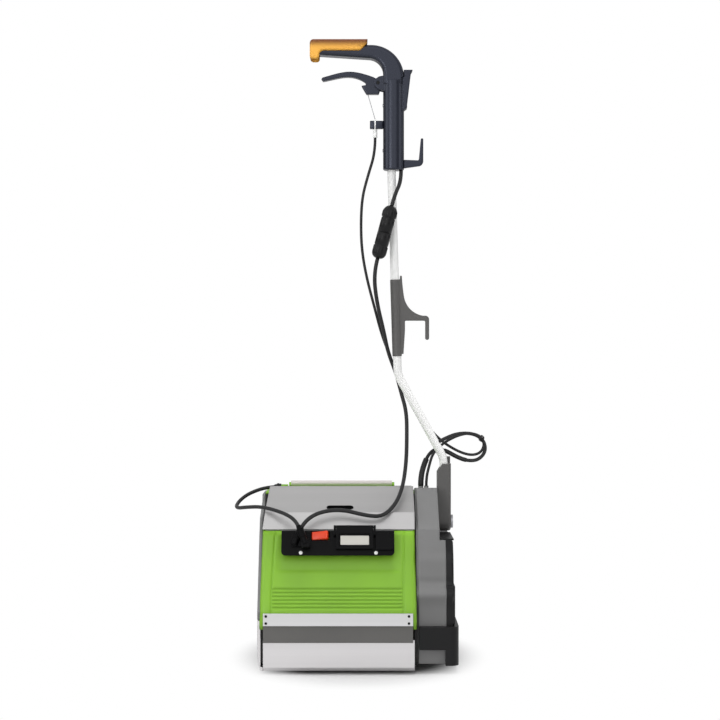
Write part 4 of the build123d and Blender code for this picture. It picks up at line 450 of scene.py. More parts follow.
# %% Connector socket
socket_end = connector_length - plug_length
socket_profile = [
    (0.0, 0.0),
    (0.0, 12.0),
    (0.8, 12.7),
    (socket_end - 25.0, 12.7),
    (socket_end - 24.4, 11.9),
    (socket_end - 23.4, 11.9),
    (socket_end - 22.4, 13.1),
    (socket_end - 20.0, 13.5),
    (socket_end - 11.0, 13.5),
    (socket_end - 7.5, 12.9),
    (socket_end - 4.0, 11.2),
    (socket_end - 1.4, 8.4),
    (socket_end, 5.6),
    (socket_end, 0.0),
]
socket = turned(
    "connector_socket_turned",
    socket_profile,
    connector_top + connector_axis * plug_length,
    connector_axis,
    "black_plastic",
    "handle",
    flutes=[(socket_end - 20.5, socket_end - 2.0, 8, 0.06)],
)
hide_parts("connector_socket")
print("socket", round(socket_end, 1), "mm")

# %% [markdown]
# ## Boots of the leads
# A lead would break where it leaves a stiff housing, so it comes out through a soft boot whose
# rings make it bend in a wide arc. Each boot is a lathe profile again: a taper with a row of ribs.
# The lead round the left end goes into the top of the machine through a short grommet.

# %% Ribbed boots
rib_count, first_rib, rib_pitch = 5, 6.6, 3.1
rib_profile = [(0.0, 5.7), (0.3, 6.4), (1.9, 6.4), (2.2, 5.7)]
boot_length, boot_past_end = 23.0, 8.0
boot_profile = [(0.0, 0.0), (0.0, 3.8), (0.8, 4.3), (6.0, 5.0)]
for rib in range(rib_count):
    start = first_rib + rib_pitch * rib
    boot_profile += [(start + along, radius) for along, radius in rib_profile]
boot_profile += [(boot_length, 5.8), (boot_length, 0.0)]
boot_ends = {
    "boot_lower": (routes["lead_lower"][-1], routes["lead_lower"][-2]),
    "boot_left": (routes["lead_left"][0], routes["lead_left"][1]),
}
for name, (end, beyond) in boot_ends.items():
    way = (Vector(beyond) - Vector(end)).normalized()
    boot_foot = Vector(end) + way * boot_past_end
    boot = turned(name, boot_profile, boot_foot, -way, "box_black", "machine")
    print(boot.name, boot_length, "mm")

# %% Grommet
grommet_back = Vector((13.0, 0.0, 0.0))
grommet_profile = [
    (0.0, 0.0),
    (0.0, 3.6),
    (1.0, 4.4),
    (5.0, 5.2),
    (6.0, 6.6),
    (8.5, 6.6),
    (9.0, 5.8),
    (12.8, 5.8),
    (12.8, 0.0),
]
grommet = turned(
    "lead_grommet",
    grommet_profile,
    Vector(routes["lead_left"][-1]) - grommet_back,
    (1, 0, 0),
    "black_plastic",
    "machine",
)
print(grommet.name, grommet_profile[-1][0], "mm")

# %% [markdown]
# ## Cable stop
# The lever's cable ends at a small block on the barrel. Its sheath is held in a pale nylon ferrule
# that screws through the block, and the bare wire goes on from there to the lever. A cube with its
# edges bevelled is the block. The ferrule is turned, and so is the thin part of it that shows in
# the slot down the front of the block.

# %% Helper for bevelled blocks
def block(name, low, high, radius, slot, body):
    shape = bmesh.new()
    bmesh.ops.create_cube(shape, size=1.0)
    size = Vector(high) - Vector(low)
    bmesh.ops.scale(shape, vec=size * MM, verts=shape.verts)
    bmesh.ops.translate(shape, vec=(Vector(high) + Vector(low)) / 2 * MM, verts=shape.verts)
    bmesh.ops.bevel(
        shape,
        geom=shape.edges[:],
        offset=radius * MM,
        segments=3,
        profile=0.5,
        affect="EDGES",
        material=-1,
    )
    return ended(name, shape, slot, body)


# %% Stop block
stop_left, stop_right, stop_half, stop_round = 21.0, 45.2, 5.0, 1.4
stop_low, stop_high = 955.0, 969.5
stop_block = block(
    "stop_block",
    (stop_left, -stop_half, stop_low),
    (stop_right, stop_half, stop_high),
    stop_round,
    "navy_plastic",
    "handle",
)
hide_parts("cable_stop")
print("stop", stop_high - stop_low, "mm high")

# %% Ferrule
ferrule_foot = routes["bowden_outer"][0]
ferrule_profile = [
    (0.0, 0.0),
    (0.0, 3.3),
    (0.8, 3.9),
    (10.0, 3.9),
    (10.6, 3.2),
    (11.4, 3.2),
    (12.0, 3.9),
    (16.2, 3.9),
    (16.6, 2.2),
    (32.6, 2.2),
    (33.4, 1.4),
    (33.4, 0.0),
]
ferrule = turned(
    "cable_ferrule", ferrule_profile, ferrule_foot, (0, 0, 1), "white_paint", "handle", steps=32
)
slot_radius, slot_y, slot_length = 1.3, -4.6, stop_high - stop_low
ferrule_front = turned(
    "ferrule_front",
    [(0.0, 0.0), (0.0, slot_radius), (slot_length, slot_radius), (slot_length, 0.0)],
    (ferrule_foot[0], slot_y, stop_low),
    (0, 0, 1),
    "white_paint",
    "handle",
    steps=16,
)
print(ferrule.name, ferrule_profile[-1][0], "mm,", ferrule_front.name, slot_length, "mm")

# %% [markdown]
# ## Green covers
# Each long side of the body is closed by one thin green moulding. Its ends are rounded columns, a
# fine joint line runs beside each column, six grooves stiffen its foot, a tab reaches down beside
# each end of the clamp strip, and the front one has a soft hollow for the switch box. A fine grid
# follows this best: its columns and rows are put closer together at the joint lines, the grooves
# and the rounded ends, every vertex is pushed in by how deep the cover is there, and a Solidify
# modifier gives the sheet its wall.

# %% Where the cover runs
cover_rim, cover_foot, tab_foot = 239.0, 88.0, 77.0
top_y, top_z, bend_y, bend_z, bend_soft = 132.0, 234.0, 185.0, 106.0, 2.5
end_x, end_shift, end_z = (-166.0, 98.0), (-2.7, 2.0), (240.0, 80.0)
seam_x, seam_shift, seam_z = (-143.5, 78.5), (-5.0, -1.7), (234.0, 143.0)


def cover_reach(z):
    slope = top_y + (top_z - z) * (bend_y - top_y) / (top_z - bend_z)
    return -bend_soft * math.log(math.exp(-slope / bend_soft) + math.exp(-bend_y / bend_soft))


def shifted(starts, shifts, heights, z):
    high, low = heights
    share = min(1.0, max(0.0, (high - z) / (high - low)))
    return [start + shift * share for start, shift in zip(starts, shifts)]


def cover_lines(z):
    left, right = shifted(end_x, end_shift, end_z, z)
    left_seam, right_seam = shifted(seam_x, seam_shift, seam_z, z)
    return left, left_seam, right_seam, right


print("cover reaches", round(cover_reach(cover_foot), 1), "mm out at its foot")


# %% Rows and columns of the cover
seam_offsets = (-0.95, -0.45, 0.45, 0.95)
end_count, middle_count = 12, 84
end_steps = [(step / end_count) ** 2 for step in range(end_count)]
middle_steps = [step / middle_count for step in range(1, middle_count)]
cover_columns = (
    [("left", share) for share in end_steps]
    + [("left_seam", offset) for offset in seam_offsets]
    + [("middle", share) for share in middle_steps]
    + [("right_seam", offset) for offset in seam_offsets]
    + [("right", share) for share in reversed(end_steps)]
)
groove_top, groove_pitch, groove_count = 142.9, 6.0, 6
groove_z = [groove_top - groove_pitch * step for step in range(groove_count)]
groove_offsets = (-1.35, -0.8, 0.8, 1.35)
bend_tenths, plain_tenths = range(900, 1110, 15), range(1480, 1700, 40)
hollow_tenths, upper_tenths = range(1700, 1880, 9), range(1900, 2340, 40)
cover_rows = {cover_foot, cover_rim}
for middle in groove_z:
    cover_rows.update(middle + offset for offset in groove_offsets)
for tenths in (bend_tenths, plain_tenths, hollow_tenths, upper_tenths):
    cover_rows.update(tenth / 10.0 for tenth in tenths)
cover_rows = sorted(cover_rows)
print("cover grid", len(cover_columns), "by", len(cover_rows))


# %% Where a column of the grid stands
seam_room = 1.0


def column_x(column, z):
    left, left_seam, right_seam, right = cover_lines(z)
    zone, value = column
    if zone == "left":
        return left + (left_seam - seam_room - left) * value
    if zone == "right":
        return right - (right - right_seam - seam_room) * value
    if zone == "left_seam":
        return left_seam + value
    if zone == "right_seam":
        return right_seam + value
    return left_seam + seam_room + (right_seam - left_seam - 2 * seam_room) * value


# %% How deep the cover is pressed in
column_round = 8.0
seam_half, seam_depth = 0.6, 1.1
groove_half, groove_depth = 1.0, 1.3
hollow_depth, hollow_z, hollow_side = 1.8, (168.5, 175.5), 14.0


def ease(value, low, high):
    share = min(1.0, max(0.0, (value - low) / (high - low)))
    return share * share * (3.0 - 2.0 * share)


def cover_depth(column, x, z, hollow):
    left, left_seam, right_seam, right = cover_lines(z)
    near_end = min(x - left, right - x)
    depth = 0.0
    if near_end < column_round:
        rise = column_round - near_end
        depth = column_round - math.sqrt(max(0.0, column_round**2 - rise**2))
    if column[0].endswith("seam") and abs(column[1]) < seam_half:
        depth += seam_depth
    if left_seam + seam_room <= x <= right_seam - seam_room:
        if any(abs(z - middle) < groove_half for middle in groove_z):
            depth += groove_depth
        if hollow:
            sides = ease(x, left_seam + seam_room, left_seam + hollow_side)
            sides *= ease(-x, seam_room - right_seam, hollow_side - right_seam)
            depth += hollow_depth * sides * ease(z, *hollow_z)
    return depth


# %% Covers
strip_ends = (-161.8, 93.4)
cover_wall = 2.6


def cover(name, side, hollow):
    shape = bmesh.new()
    spans = (len(cover_columns) - 1, len(cover_rows) - 1)
    bmesh.ops.create_grid(shape, x_segments=spans[0], y_segments=spans[1], size=0.5)
    for vertex in shape.verts:
        column = cover_columns[round((vertex.co.x + 0.5) * spans[0])]
        z = cover_rows[round((vertex.co.y + 0.5) * spans[1])]
        x = column_x(column, z)
        if z == cover_foot and not strip_ends[0] < x < strip_ends[1]:
            z = tab_foot
        reach = cover_reach(z) - cover_depth(column, x, z, hollow)
        vertex.co = Vector((x, side * reach, z)) * MM
    if side > 0:
        bmesh.ops.reverse_faces(shape, faces=shape.faces)
    piece = ended(name, shape, "green_plastic", "machine")
    wall = piece.modifiers.new("wall", "SOLIDIFY")
    wall.thickness = cover_wall * MM
    wall.offset = -1.0
    return piece


front_cover = cover("front_cover_moulding", -1.0, True)
rear_cover = cover("rear_cover_moulding", 1.0, False)
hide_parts("front_cover")
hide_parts("rear_cover")
print("front cover faces", len(front_cover.data.polygons))

# %% [markdown]
# ## Screws
# The strips are held by dark pan-head screws and the switch box by bright ones. Their places are
# read from the solids, so they always sit where the holes are. A set has no order of its own, so
# the places are sorted, and every run numbers the screws alike. A head is a lathe profile with a
# recess, and drawing the recess in on a cosine of four turns makes it a cross.

# %% Helpers for screws
def islands(node):
    shape = bmesh.new()
    shape.from_mesh(node.data)
    bmesh.ops.remove_doubles(shape, verts=shape.verts, dist=WELD)
    waiting, boxes = set(shape.verts), []
    while waiting:
        reached, found = [waiting.pop()], []
        while reached:
            vertex = reached.pop()
            found.append(vertex.co.copy())
            for edge in vertex.link_edges:
                other = edge.other_vert(vertex)
                if other in waiting:
                    waiting.remove(other)
                    reached.append(other)
        low = Vector(min(point[axis] for point in found) for axis in range(3))
        high = Vector(max(point[axis] for point in found) for axis in range(3))
        boxes.append((low, high))
    shape.free()
    return sorted(boxes, key=lambda box: [round(value, 4) for value in box[0]])


head_outside = [(0.0, 1.0), (0.35, 1.0), (0.7, 0.9), (0.92, 0.72), (1.0, 0.55)]
head_recess = [(0.98, 0.5), (0.35, 0.36), (0.3, 0.0)]
recess_rim, cross_waist = 0.52, 0.45


def screw_head(name, place, axis, size, slot):
    radius, height = size
    profile = [(along * height, share * radius) for along, share in head_outside + head_recess]
    head = turned(name, profile, place / MM, axis, slot, "machine", steps=24)
    spin = Vector((0, 0, 1)).rotation_difference(axis).inverted()
    for vertex in head.data.vertices:
        local = spin @ (vertex.co - place)
        if WELD < local.xy.length < radius * MM * recess_rim:
            around = math.atan2(local.y, local.x)
            local.xy *= cross_waist + (1.0 - cross_waist) * math.cos(2.0 * around) ** 4
            vertex.co = place + spin.inverted() @ local
    return head


# %% Screws of the strips and the switch box
face_up = Vector((0.0, 13.0, 41.0)).normalized()
face_out = Vector((0.0, -face_up.z, face_up.y))
strip_y, box_screw_sunk = 180.0 * MM, 0.6 * MM
strip_screw_size, box_screw_size = (2.3, 1.3), (3.2, 1.4)
for number, (low, high) in enumerate(islands(nodes["panel_screws"])):
    middle = (low + high) / 2
    if abs(middle.y) > strip_y:
        way = Vector((0.0, math.copysign(1.0, middle.y), 0.0))
        foot = Vector((middle.x, low.y if way.y > 0 else high.y, middle.z))
        head = screw_head(f"strip_screw_{number}", foot, way, strip_screw_size, "black_paint")
    else:
        foot = middle - face_out * box_screw_sunk
        head = screw_head(f"box_screw_{number}", foot, face_out, box_screw_size, "white_paint")
    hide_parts("panel_screws")
print("screws", number + 1)

# %% [markdown]
# ## Rocker
# The orange rocker leans to the side that is pressed. A cube with well-rounded edges, its outer
# face drawn a little askew and hollowed for the finger, is tipped by the same angle as its solid.

# %% Rocker block
rocker_size, rocker_rise, rocker_round = Vector((28.0, 14.0, 10.0)), 2.0, 1.7
rocker_skew, rocker_dish, sharp_angle = 0.9, 0.9, 0.9
rocker_shape = bmesh.new()
bmesh.ops.create_cube(rocker_shape, size=1.0)
bmesh.ops.scale(rocker_shape, vec=rocker_size * MM, verts=rocker_shape.verts)
bmesh.ops.translate(rocker_shape, vec=(0, 0, rocker_rise * MM), verts=rocker_shape.verts)
long_edges = [
    edge for edge in rocker_shape.edges if abs(edge.verts[0].co.x - edge.verts[1].co.x) > MM
]
bmesh.ops.subdivide_edges(rocker_shape, edges=long_edges, cuts=9, use_grid_fill=True)
for vertex in rocker_shape.verts:
    if vertex.co.z > 0.0:
        share = vertex.co.x / (rocker_size.x / 2 * MM)
        vertex.co.y += rocker_skew * MM * share
        vertex.co.z -= rocker_dish * MM * (1.0 - share * share)
print("rocker cut into", len(rocker_shape.faces), "faces")

# %% Rocker rounded and put in place
face_middle = Vector((-65.0, -156.5, 220.5))
rocker_up, rocker_sunk, rocker_lean = 13.0, 2.0, math.radians(-13.0)
rocker_place = face_middle + face_up * rocker_up - face_out * rocker_sunk
rim = [
    edge
    for edge in rocker_shape.edges
    if len(edge.link_faces) == 2 and edge.calc_face_angle() > sharp_angle
]
bmesh.ops.bevel(
    rocker_shape,
    geom=rim,
    offset=rocker_round * MM,
    segments=4,
    profile=0.5,
    affect="EDGES",
    material=-1,
)
bmesh.ops.recalc_face_normals(rocker_shape, faces=rocker_shape.faces)
rocker_tip = Matrix.Rotation(rocker_lean, 4, "Y")
rocker_shape.transform(axes_matrix(rocker_place * MM, (1, 0, 0), face_up) @ rocker_tip)
rocker = ended("rocker_cap", rocker_shape, "switch_red", "rocker")
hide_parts("rocker")
print("rocker faces", len(rocker.data.polygons))

# %% [markdown]
# ## Bristles
# Each roller has twenty rings of nylon tufts. A tuft is drawn together at its root and spreads at
# its tip, so a six-sided cone stands for it, and one small cone repeated along every ring stays
# light.

# %% One tuft
tuft_root, tuft_tip, tuft_length, tuft_middle = 1.9 * MM, 5.0 * MM, 37.0 * MM, 41.2 * MM
tuft_mesh = bpy.data.meshes.new("tuft")
tuft_shape = bmesh.new()
bmesh.ops.create_cone(
    tuft_shape, cap_ends=True, segments=6, radius1=tuft_root, radius2=tuft_tip, depth=tuft_length
)
bmesh.ops.translate(tuft_shape, vec=(0, 0, tuft_middle), verts=tuft_shape.verts)
tuft_shape.to_mesh(tuft_mesh)
tuft_shape.free()
print("tuft faces", len(tuft_mesh.polygons))

# %% Rings of tufts
tuft_rings, tufts_in_ring = 20, 28
brush_start, brush_length = -156.0, 246.0
brush_y, brush_z = 93.75, 60.0


def bristles(name, middle, body, node):
    shape = bmesh.new()
    for ring_number in range(tuft_rings):
        x = brush_start + brush_length * (ring_number + 0.5) / tuft_rings
        for number in range(tufts_in_ring):
            angle = math.tau * (number + 0.5 * (ring_number % 2)) / tufts_in_ring
            first = len(shape.verts)
            shape.from_mesh(tuft_mesh)
            shape.verts.ensure_lookup_table()
            place = Matrix.Translation(Vector((x, *middle)) * MM) @ Matrix.Rotation(angle, 4, "X")
            bmesh.ops.transform(shape, matrix=place, verts=shape.verts[first:])
    tufts = ended(name, shape, "bristle", body, smooth=False)
    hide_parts(node)
    return tufts


for side, body in ((-1.0, "front_brush"), (1.0, "rear_brush")):
    tufts = bristles(body + "_tufts", (side * brush_y, brush_z), body, body + "_bristles")
    print(tufts.name, "faces", len(tufts.data.polygons))
bpy.data.meshes.remove(tuft_mesh)

# %% [markdown]
# ## Trim on the casing
# A black trim lies on the step of the casing at both sides of the handle's foot. It is a thin
# bevelled block that leaves room for the foot to swing.

# %% Trim
trim_x, trim_z, trim_round = (142.2, 165.6), (222.6, 225.4), 1.0
trims = {"front_trim": (-133.0, -26.0), "rear_trim": (26.0, 133.0)}
for name, trim_y in trims.items():
    low, high = zip(trim_x, trim_y, trim_z)
    trim = block(name, low, high, trim_round, "black_plastic", "machine")
    print(name, "faces", len(trim.data.polygons))

# %% [markdown]
# ## Number of cords
# This step prints how many cords were made.

# %% Cords counted
print("cords declared", len(cords))

# %% [markdown]
# ## Floor and light
# The machine stands on a white studio sweep. A plain pale floor takes the soft shadow under the
# body. It is paler to the camera and in reflections than in the light that it throws back, so that
# the forms keep their shade. Past an oval round the machine it turns fully white, so that it meets
# the white background without a line.

# %% Helper for shader trees
def add(tree, kind, values=None, **settings):
    made = tree.nodes.new("ShaderNode" + kind)
    for key, value in settings.items():
        setattr(made, key, value)
    for label, value in (values or {}).items():
        made.inputs[label].default_value = value
    return made


def wire(tree, *pairs):
    for start, end in pairs:
        tree.links.new(start, end)


def seen_share(tree, *rays):
    path = add(tree, "LightPath")
    share = path.outputs[rays[0]]
    for ray in rays[1:]:
        either = add(tree, "Math", operation="MAXIMUM")
        wire(tree, (share, either.inputs[0]), (path.outputs[ray], either.inputs[1]))
        share = either.outputs[0]
    return share


def graded(tree, value, span, ends):
    limits = dict(zip(("From Min", "From Max", "To Min", "To Max"), (*span, *ends)))
    grade = add(tree, "MapRange", limits, interpolation_type="SMOOTHSTEP")
    wire(tree, (value, grade.inputs["Value"]))
    return grade.outputs["Result"]


def ranged(tree, share, low, high):
    spread = add(tree, "MapRange", {"To Min": low, "To Max": high})
    wire(tree, (share, spread.inputs["Value"]))
    return spread.outputs["Result"]


# %% Floor
floor_half = 6.0
floor_shape = bmesh.new()
bmesh.ops.create_grid(floor_shape, x_segments=1, y_segments=1, size=floor_half)
floor_mesh = bpy.data.meshes.new("studio_floor")
floor_shape.to_mesh(floor_mesh)
floor_shape.free()
floor = new_piece("studio_floor", floor_mesh)
floor_paint = bpy.data.materials.new("studio_white")
floor_paint.use_nodes = True
floor_tree = floor_paint.node_tree
floor_tree.nodes.clear()
floor_mesh.materials.append(floor_paint)
print("floor", floor_half * 2, "m wide")

# %% Floor paint
floor_bounce, floor_seen_tone = 0.42, 0.67
sweep_span, sweep_stretch = (0.15, 0.24), (1.0, 0.75, 1.0)
matt = add(floor_tree, "BsdfDiffuse")
white = add(floor_tree, "Emission")
floor_place = add(floor_tree, "TexCoord")
floor_oval = add(floor_tree, "VectorMath", {1: sweep_stretch}, operation="MULTIPLY")
floor_radius = add(floor_tree, "VectorMath", operation="LENGTH")
far_share = add(floor_tree, "Math", operation="MULTIPLY")
sweep = add(floor_tree, "MixShader")
floor_out = add(floor_tree, "OutputMaterial")
floor_seen = seen_share(floor_tree, "Is Camera Ray", "Is Glossy Ray", "Is Transmission Ray")
matt_tone = ranged(floor_tree, floor_seen, floor_bounce, floor_seen_tone)
far = graded(floor_tree, floor_radius.outputs["Value"], sweep_span, (0.0, 1.0))
wire(
    floor_tree,
    (matt_tone, matt.inputs["Color"]),
    (floor_place.outputs["Object"], floor_oval.inputs[0]),
    (floor_oval.outputs["Vector"], floor_radius.inputs[0]),
    (far, far_share.inputs[0]),
    (floor_seen, far_share.inputs[1]),
    (far_share.outputs[0], sweep.inputs[0]),
    (matt.outputs[0], sweep.inputs[1]),
    (white.outputs[0], sweep.inputs[2]),
    (sweep.outputs[0], floor_out.inputs["Surface"]),
)
print("sweep turns white from", sweep_span[0], "to", sweep_span[1], "m")

# %% [markdown]
# ### World
# To the camera the world is plain white. Polished pieces see it grade from dim walls at the
# horizon to a bright ceiling, as in a studio, and as a lamp it gives only part of the light.

# %% World
world_up = (0.0, 0.5)
mirror_levels = (0.22, 0.80)
lamp_levels = (0.44, 0.40)
world = bpy.data.worlds.new("white_studio")
scene.world = world
world.use_nodes = True
sky_tree = world.node_tree
sky_tree.nodes.clear()
sky = add(sky_tree, "Background", {"Color": (1.0, 1.0, 1.0, 1.0)})
sky_place = add(sky_tree, "TexCoord")
sky_axes = add(sky_tree, "SeparateXYZ")
as_lamp = graded(sky_tree, sky_axes.outputs["Z"], world_up, lamp_levels)
in_mirror = graded(sky_tree, sky_axes.outputs["Z"], world_up, mirror_levels)
mirrored = seen_share(sky_tree, "Is Glossy Ray", "Is Transmission Ray")
unseen = add(sky_tree, "Mix")
plain = add(sky_tree, "Mix", {"B": 1.0})
sky_out = add(sky_tree, "OutputWorld")
wire(
    sky_tree,
    (sky_place.outputs["Generated"], sky_axes.inputs[0]),
    (mirrored, unseen.inputs["Factor"]),
    (as_lamp, unseen.inputs["A"]),
    (in_mirror, unseen.inputs["B"]),
    (seen_share(sky_tree, "Is Camera Ray"), plain.inputs["Factor"]),
    (unseen.outputs["Result"], plain.inputs["A"]),
    (plain.outputs["Result"], sky.inputs["Strength"]),
    (sky.outputs[0], sky_out.inputs["Surface"]),
)
scene.view_settings.view_transform = "Standard"
print("world as a lamp", lamp_levels, "in reflections", mirror_levels)

# %% [markdown]
# ### Lamps
# Large soft lamps model the forms: the main one in front, a small one beside it that draws a sheen
# down the round barrel, weaker ones at both sides, one overhead that makes faces turned upwards
# lighter than upright ones, and one behind that throws the shadow forwards. The lids would mirror
# the last two as burnt patches, so reflections leave them out. A lamp's power is worked out from
# its distance and from the share of full brightness that it adds to a face turned towards it.

# %% Lamps
lamp_target = Vector((0.0, 0.0, 0.45))
lamps = {
    "front_softbox": ((-0.8, -3.4, 1.9), 4.0, 0.32),
    "strip_softbox": ((-1.1, -3.0, 1.0), 0.8, 0.10),
    "left_softbox": ((-2.6, -0.9, 1.5), 1.6, 0.15),
    "right_softbox": ((2.6, -1.1, 1.1), 1.4, 0.10),
    "top_softbox": ((0.2, -0.3, 3.4), 1.8, 0.75),
    "rear_softbox": ((0.2, 1.6, 2.4), 1.4, 0.26),
}
unmirrored = ("top_softbox", "rear_softbox")
for name, (place, width, share) in lamps.items():
    lamp_data = bpy.data.lights.new(name, "AREA")
    lamp_data.shape = "SQUARE"
    lamp_data.size = width
    reach = (Vector(place) - lamp_target).length
    lamp_data.energy = math.pi**2 * share * reach**2
    lamp = bpy.data.objects.new(name, lamp_data)
    lamp.location = place
    lamp.visible_glossy = name not in unmirrored
    lamp.rotation_euler = (lamp_target - Vector(place)).to_track_quat("-Z", "Y").to_euler()
    scene.collection.objects.link(lamp)
    print(name, "power", round(lamp_data.energy, 1))

# %% [markdown]
# ## Effects that several finishes share
# Real edges are never sharp: a moulded or folded edge has a small round that catches the light.
# The Bevel node rounds the shading there, and how far it turns the normal tells where the edges
# are, so the same group also gives a mask for rubbed edges.

# %% Helper for node groups
def new_group(name, inputs, outputs):
    group = bpy.data.node_groups.new(name, "ShaderNodeTree")
    for label, value in inputs.items():
        socket_in = group.interface.new_socket(label, in_out="INPUT", socket_type="NodeSocketFloat")
        socket_in.default_value = value
    for label, kind in outputs.items():
        group.interface.new_socket(label, in_out="OUTPUT", socket_type="NodeSocket" + kind)
    return group, group.nodes.new("NodeGroupInput"), group.nodes.new("NodeGroupOutput")


# %% Group for soft edges
soft_edges, edge_in, edge_out = new_group(
    "soft_edges", {"Radius": 0.001}, {"Normal": "Vector", "Edge": "Float"}
)
edge_round = add(soft_edges, "Bevel", samples=6)
edge_face = add(soft_edges, "NewGeometry")
edge_turn = add(soft_edges, "VectorMath", operation="DOT_PRODUCT")
edge_mask = add(soft_edges, "MapRange", {"From Min": 0.985, "From Max": 0.80})
wire(
    soft_edges,
    (edge_in.outputs["Radius"], edge_round.inputs["Radius"]),
    (edge_round.outputs["Normal"], edge_turn.inputs[0]),
    (edge_face.outputs["Normal"], edge_turn.inputs[1]),
    (edge_turn.outputs["Value"], edge_mask.inputs["Value"]),
    (edge_round.outputs["Normal"], edge_out.inputs["Normal"]),
    (edge_mask.outputs["Result"], edge_out.inputs["Edge"]),
)
print("group", soft_edges.name)

# %% [markdown]
# A moulded surface has a fine grain from its spark-eroded mould, and broad, faint clouds where it
# was wiped and handled. Both are noise at two scales: the fine one is a height, the broad one a
# mask.

# %% Group for moulded grain
moulded_grain, grain_in, grain_out = new_group(
    "moulded_grain", {"Scale": 900.0}, {"Height": "Float", "Clouds": "Float"}
)
grain_place = add(moulded_grain, "TexCoord")
grain_fine = add(moulded_grain, "TexNoise", {"Detail": 2.0})
grain_broad = add(moulded_grain, "TexNoise", {"Scale": 9.0, "Detail": 4.0})
grain_range = add(moulded_grain, "MapRange", {"From Min": 0.34, "From Max": 0.66})
wire(
    moulded_grain,
    (grain_place.outputs["Object"], grain_fine.inputs["Vector"]),
    (grain_place.outputs["Object"], grain_broad.inputs["Vector"]),
    (grain_in.outputs["Scale"], grain_fine.inputs["Scale"]),
    (grain_broad.outputs["Fac"], grain_range.inputs["Value"]),
    (grain_fine.outputs["Fac"], grain_out.inputs["Height"]),
    (grain_range.outputs["Result"], grain_out.inputs["Clouds"]),
)
print("group", moulded_grain.name)

# %% [markdown]
# Rolled sheet is finished with a belt that leaves fine lines along it. Noise stretched along X
# makes those lines, and a second, wider band of it gives the slow changes of tone.

# %% Group for belt lines
belt_lines, belt_in, belt_out = new_group(
    "belt_lines", {"Fineness": 700.0}, {"Height": "Float", "Tone": "Float"}
)
belt_place = add(belt_lines, "TexCoord")
belt_stretch = add(belt_lines, "VectorMath", {1: (0.012, 1.0, 1.0)}, operation="MULTIPLY")
belt_fine = add(belt_lines, "TexNoise", {"Detail": 3.0})
belt_wide = add(belt_lines, "TexNoise", {"Scale": 60.0})
wire(
    belt_lines,
    (belt_place.outputs["Object"], belt_stretch.inputs[0]),
    (belt_stretch.outputs[0], belt_fine.inputs["Vector"]),
    (belt_stretch.outputs[0], belt_wide.inputs["Vector"]),
    (belt_in.outputs["Fineness"], belt_fine.inputs["Scale"]),
    (belt_fine.outputs["Fac"], belt_out.inputs["Height"]),
    (belt_wide.outputs["Fac"], belt_out.inputs["Tone"]),
)
print("group", belt_lines.name)

# %% [markdown]
# ## Finishes
# Every finish starts from the Principled shader. A colour is given as it looks on a screen, from 0
# to 255, and turned into the linear numbers that the shader works with.

# %% Helpers for finishes
def linear(tone):
    share = tone / 255.0
    if share <= 0.04045:
        return share / 12.92
    return ((share + 0.055) / 1.055) ** 2.4


def colour(tones, gain=1.0):
    return (*(min(1.0, linear(tone) * gain) for tone in tones), 1.0)


MIX_COLOURS, MIX_RESULT = (6, 7), 2


def blended(tree, share, low, high):
    mix = add(tree, "Mix", data_type="RGBA")
    wire(tree, (share, mix.inputs["Factor"]))
    for end, number in zip((low, high), MIX_COLOURS):
        if isinstance(end, tuple):
            mix.inputs[number].default_value = end
        else:
            wire(tree, (end, mix.inputs[number]))
    return mix.outputs[MIX_RESULT]


def new_finish(name, **sockets):
    material = bpy.data.materials.new(name)
    material.use_nodes = True
    shader = material.node_tree.nodes["Principled BSDF"]
    for label, value in sockets.items():
        shader.inputs[label.replace("_", " ")].default_value = value
    return material, material.node_tree, shader


def relief(tree, shader, height, normal, depth):
    bump = add(tree, "Bump", {"Strength": 1.0, "Distance": depth})
    wire(
        tree,
        (height, bump.inputs["Height"]),
        (normal, bump.inputs["Normal"]),
        (bump.outputs["Normal"], shader.inputs["Normal"]),
    )


# %% [markdown]
# ### Moulded plastic
# The covers, the casing, the switch box and the grip are moulded plastic. The colour drifts a
# little with the clouds, edges that get rubbed are a shade lighter, and the fine grain breaks up
# the gloss. The grip's sheen is a little blue. The orange bar's colour grades with height, from
# brown along its top to palest at its nose: painted shade on the top of the bar.

# %% Helpers for moulded plastics
def graded_height(tree, span):
    place = add(tree, "TexCoord")
    axes = add(tree, "SeparateXYZ")
    wire(tree, (place.outputs["Object"], axes.inputs[0]))
    return graded(tree, axes.outputs["Z"], span, (0.0, 1.0))


cloud_gloss = (-0.05, 0.06)


def moulded(
    name,
    tone,
    gloss=0.42,
    radius=1.5,
    grain=1100.0,
    depth=0.02,
    rub=1.25,
    drift=0.06,
    shine=0.35,
    sheen=(255, 255, 255),
    painted_top_shade=None,
):
    material, tree, shader = new_finish(name, Specular_IOR_Level=shine, Specular_Tint=colour(sheen))
    edges = add(tree, "Group", {"Radius": radius * MM}, node_tree=soft_edges)
    surface = add(tree, "Group", {"Scale": grain}, node_tree=moulded_grain)
    low, high = colour(tone, 1 - drift), colour(tone, 1 + drift)
    body_tone = blended(tree, surface.outputs["Clouds"], low, high)
    seen_tone = blended(tree, edges.outputs["Edge"], body_tone, colour(tone, rub))
    # Painted shade: the tone darkens towards the top of the orange bar, graded with height.
    if painted_top_shade:
        dark_tone, *span = painted_top_shade
        seen_tone = blended(tree, graded_height(tree, span), seen_tone, colour(dark_tone))
    rough = ranged(tree, surface.outputs["Clouds"], *(gloss + change for change in cloud_gloss))
    wire(tree, (seen_tone, shader.inputs["Base Color"]), (rough, shader.inputs["Roughness"]))
    relief(tree, shader, surface.outputs["Height"], edges.outputs["Normal"], depth * MM)
    return material


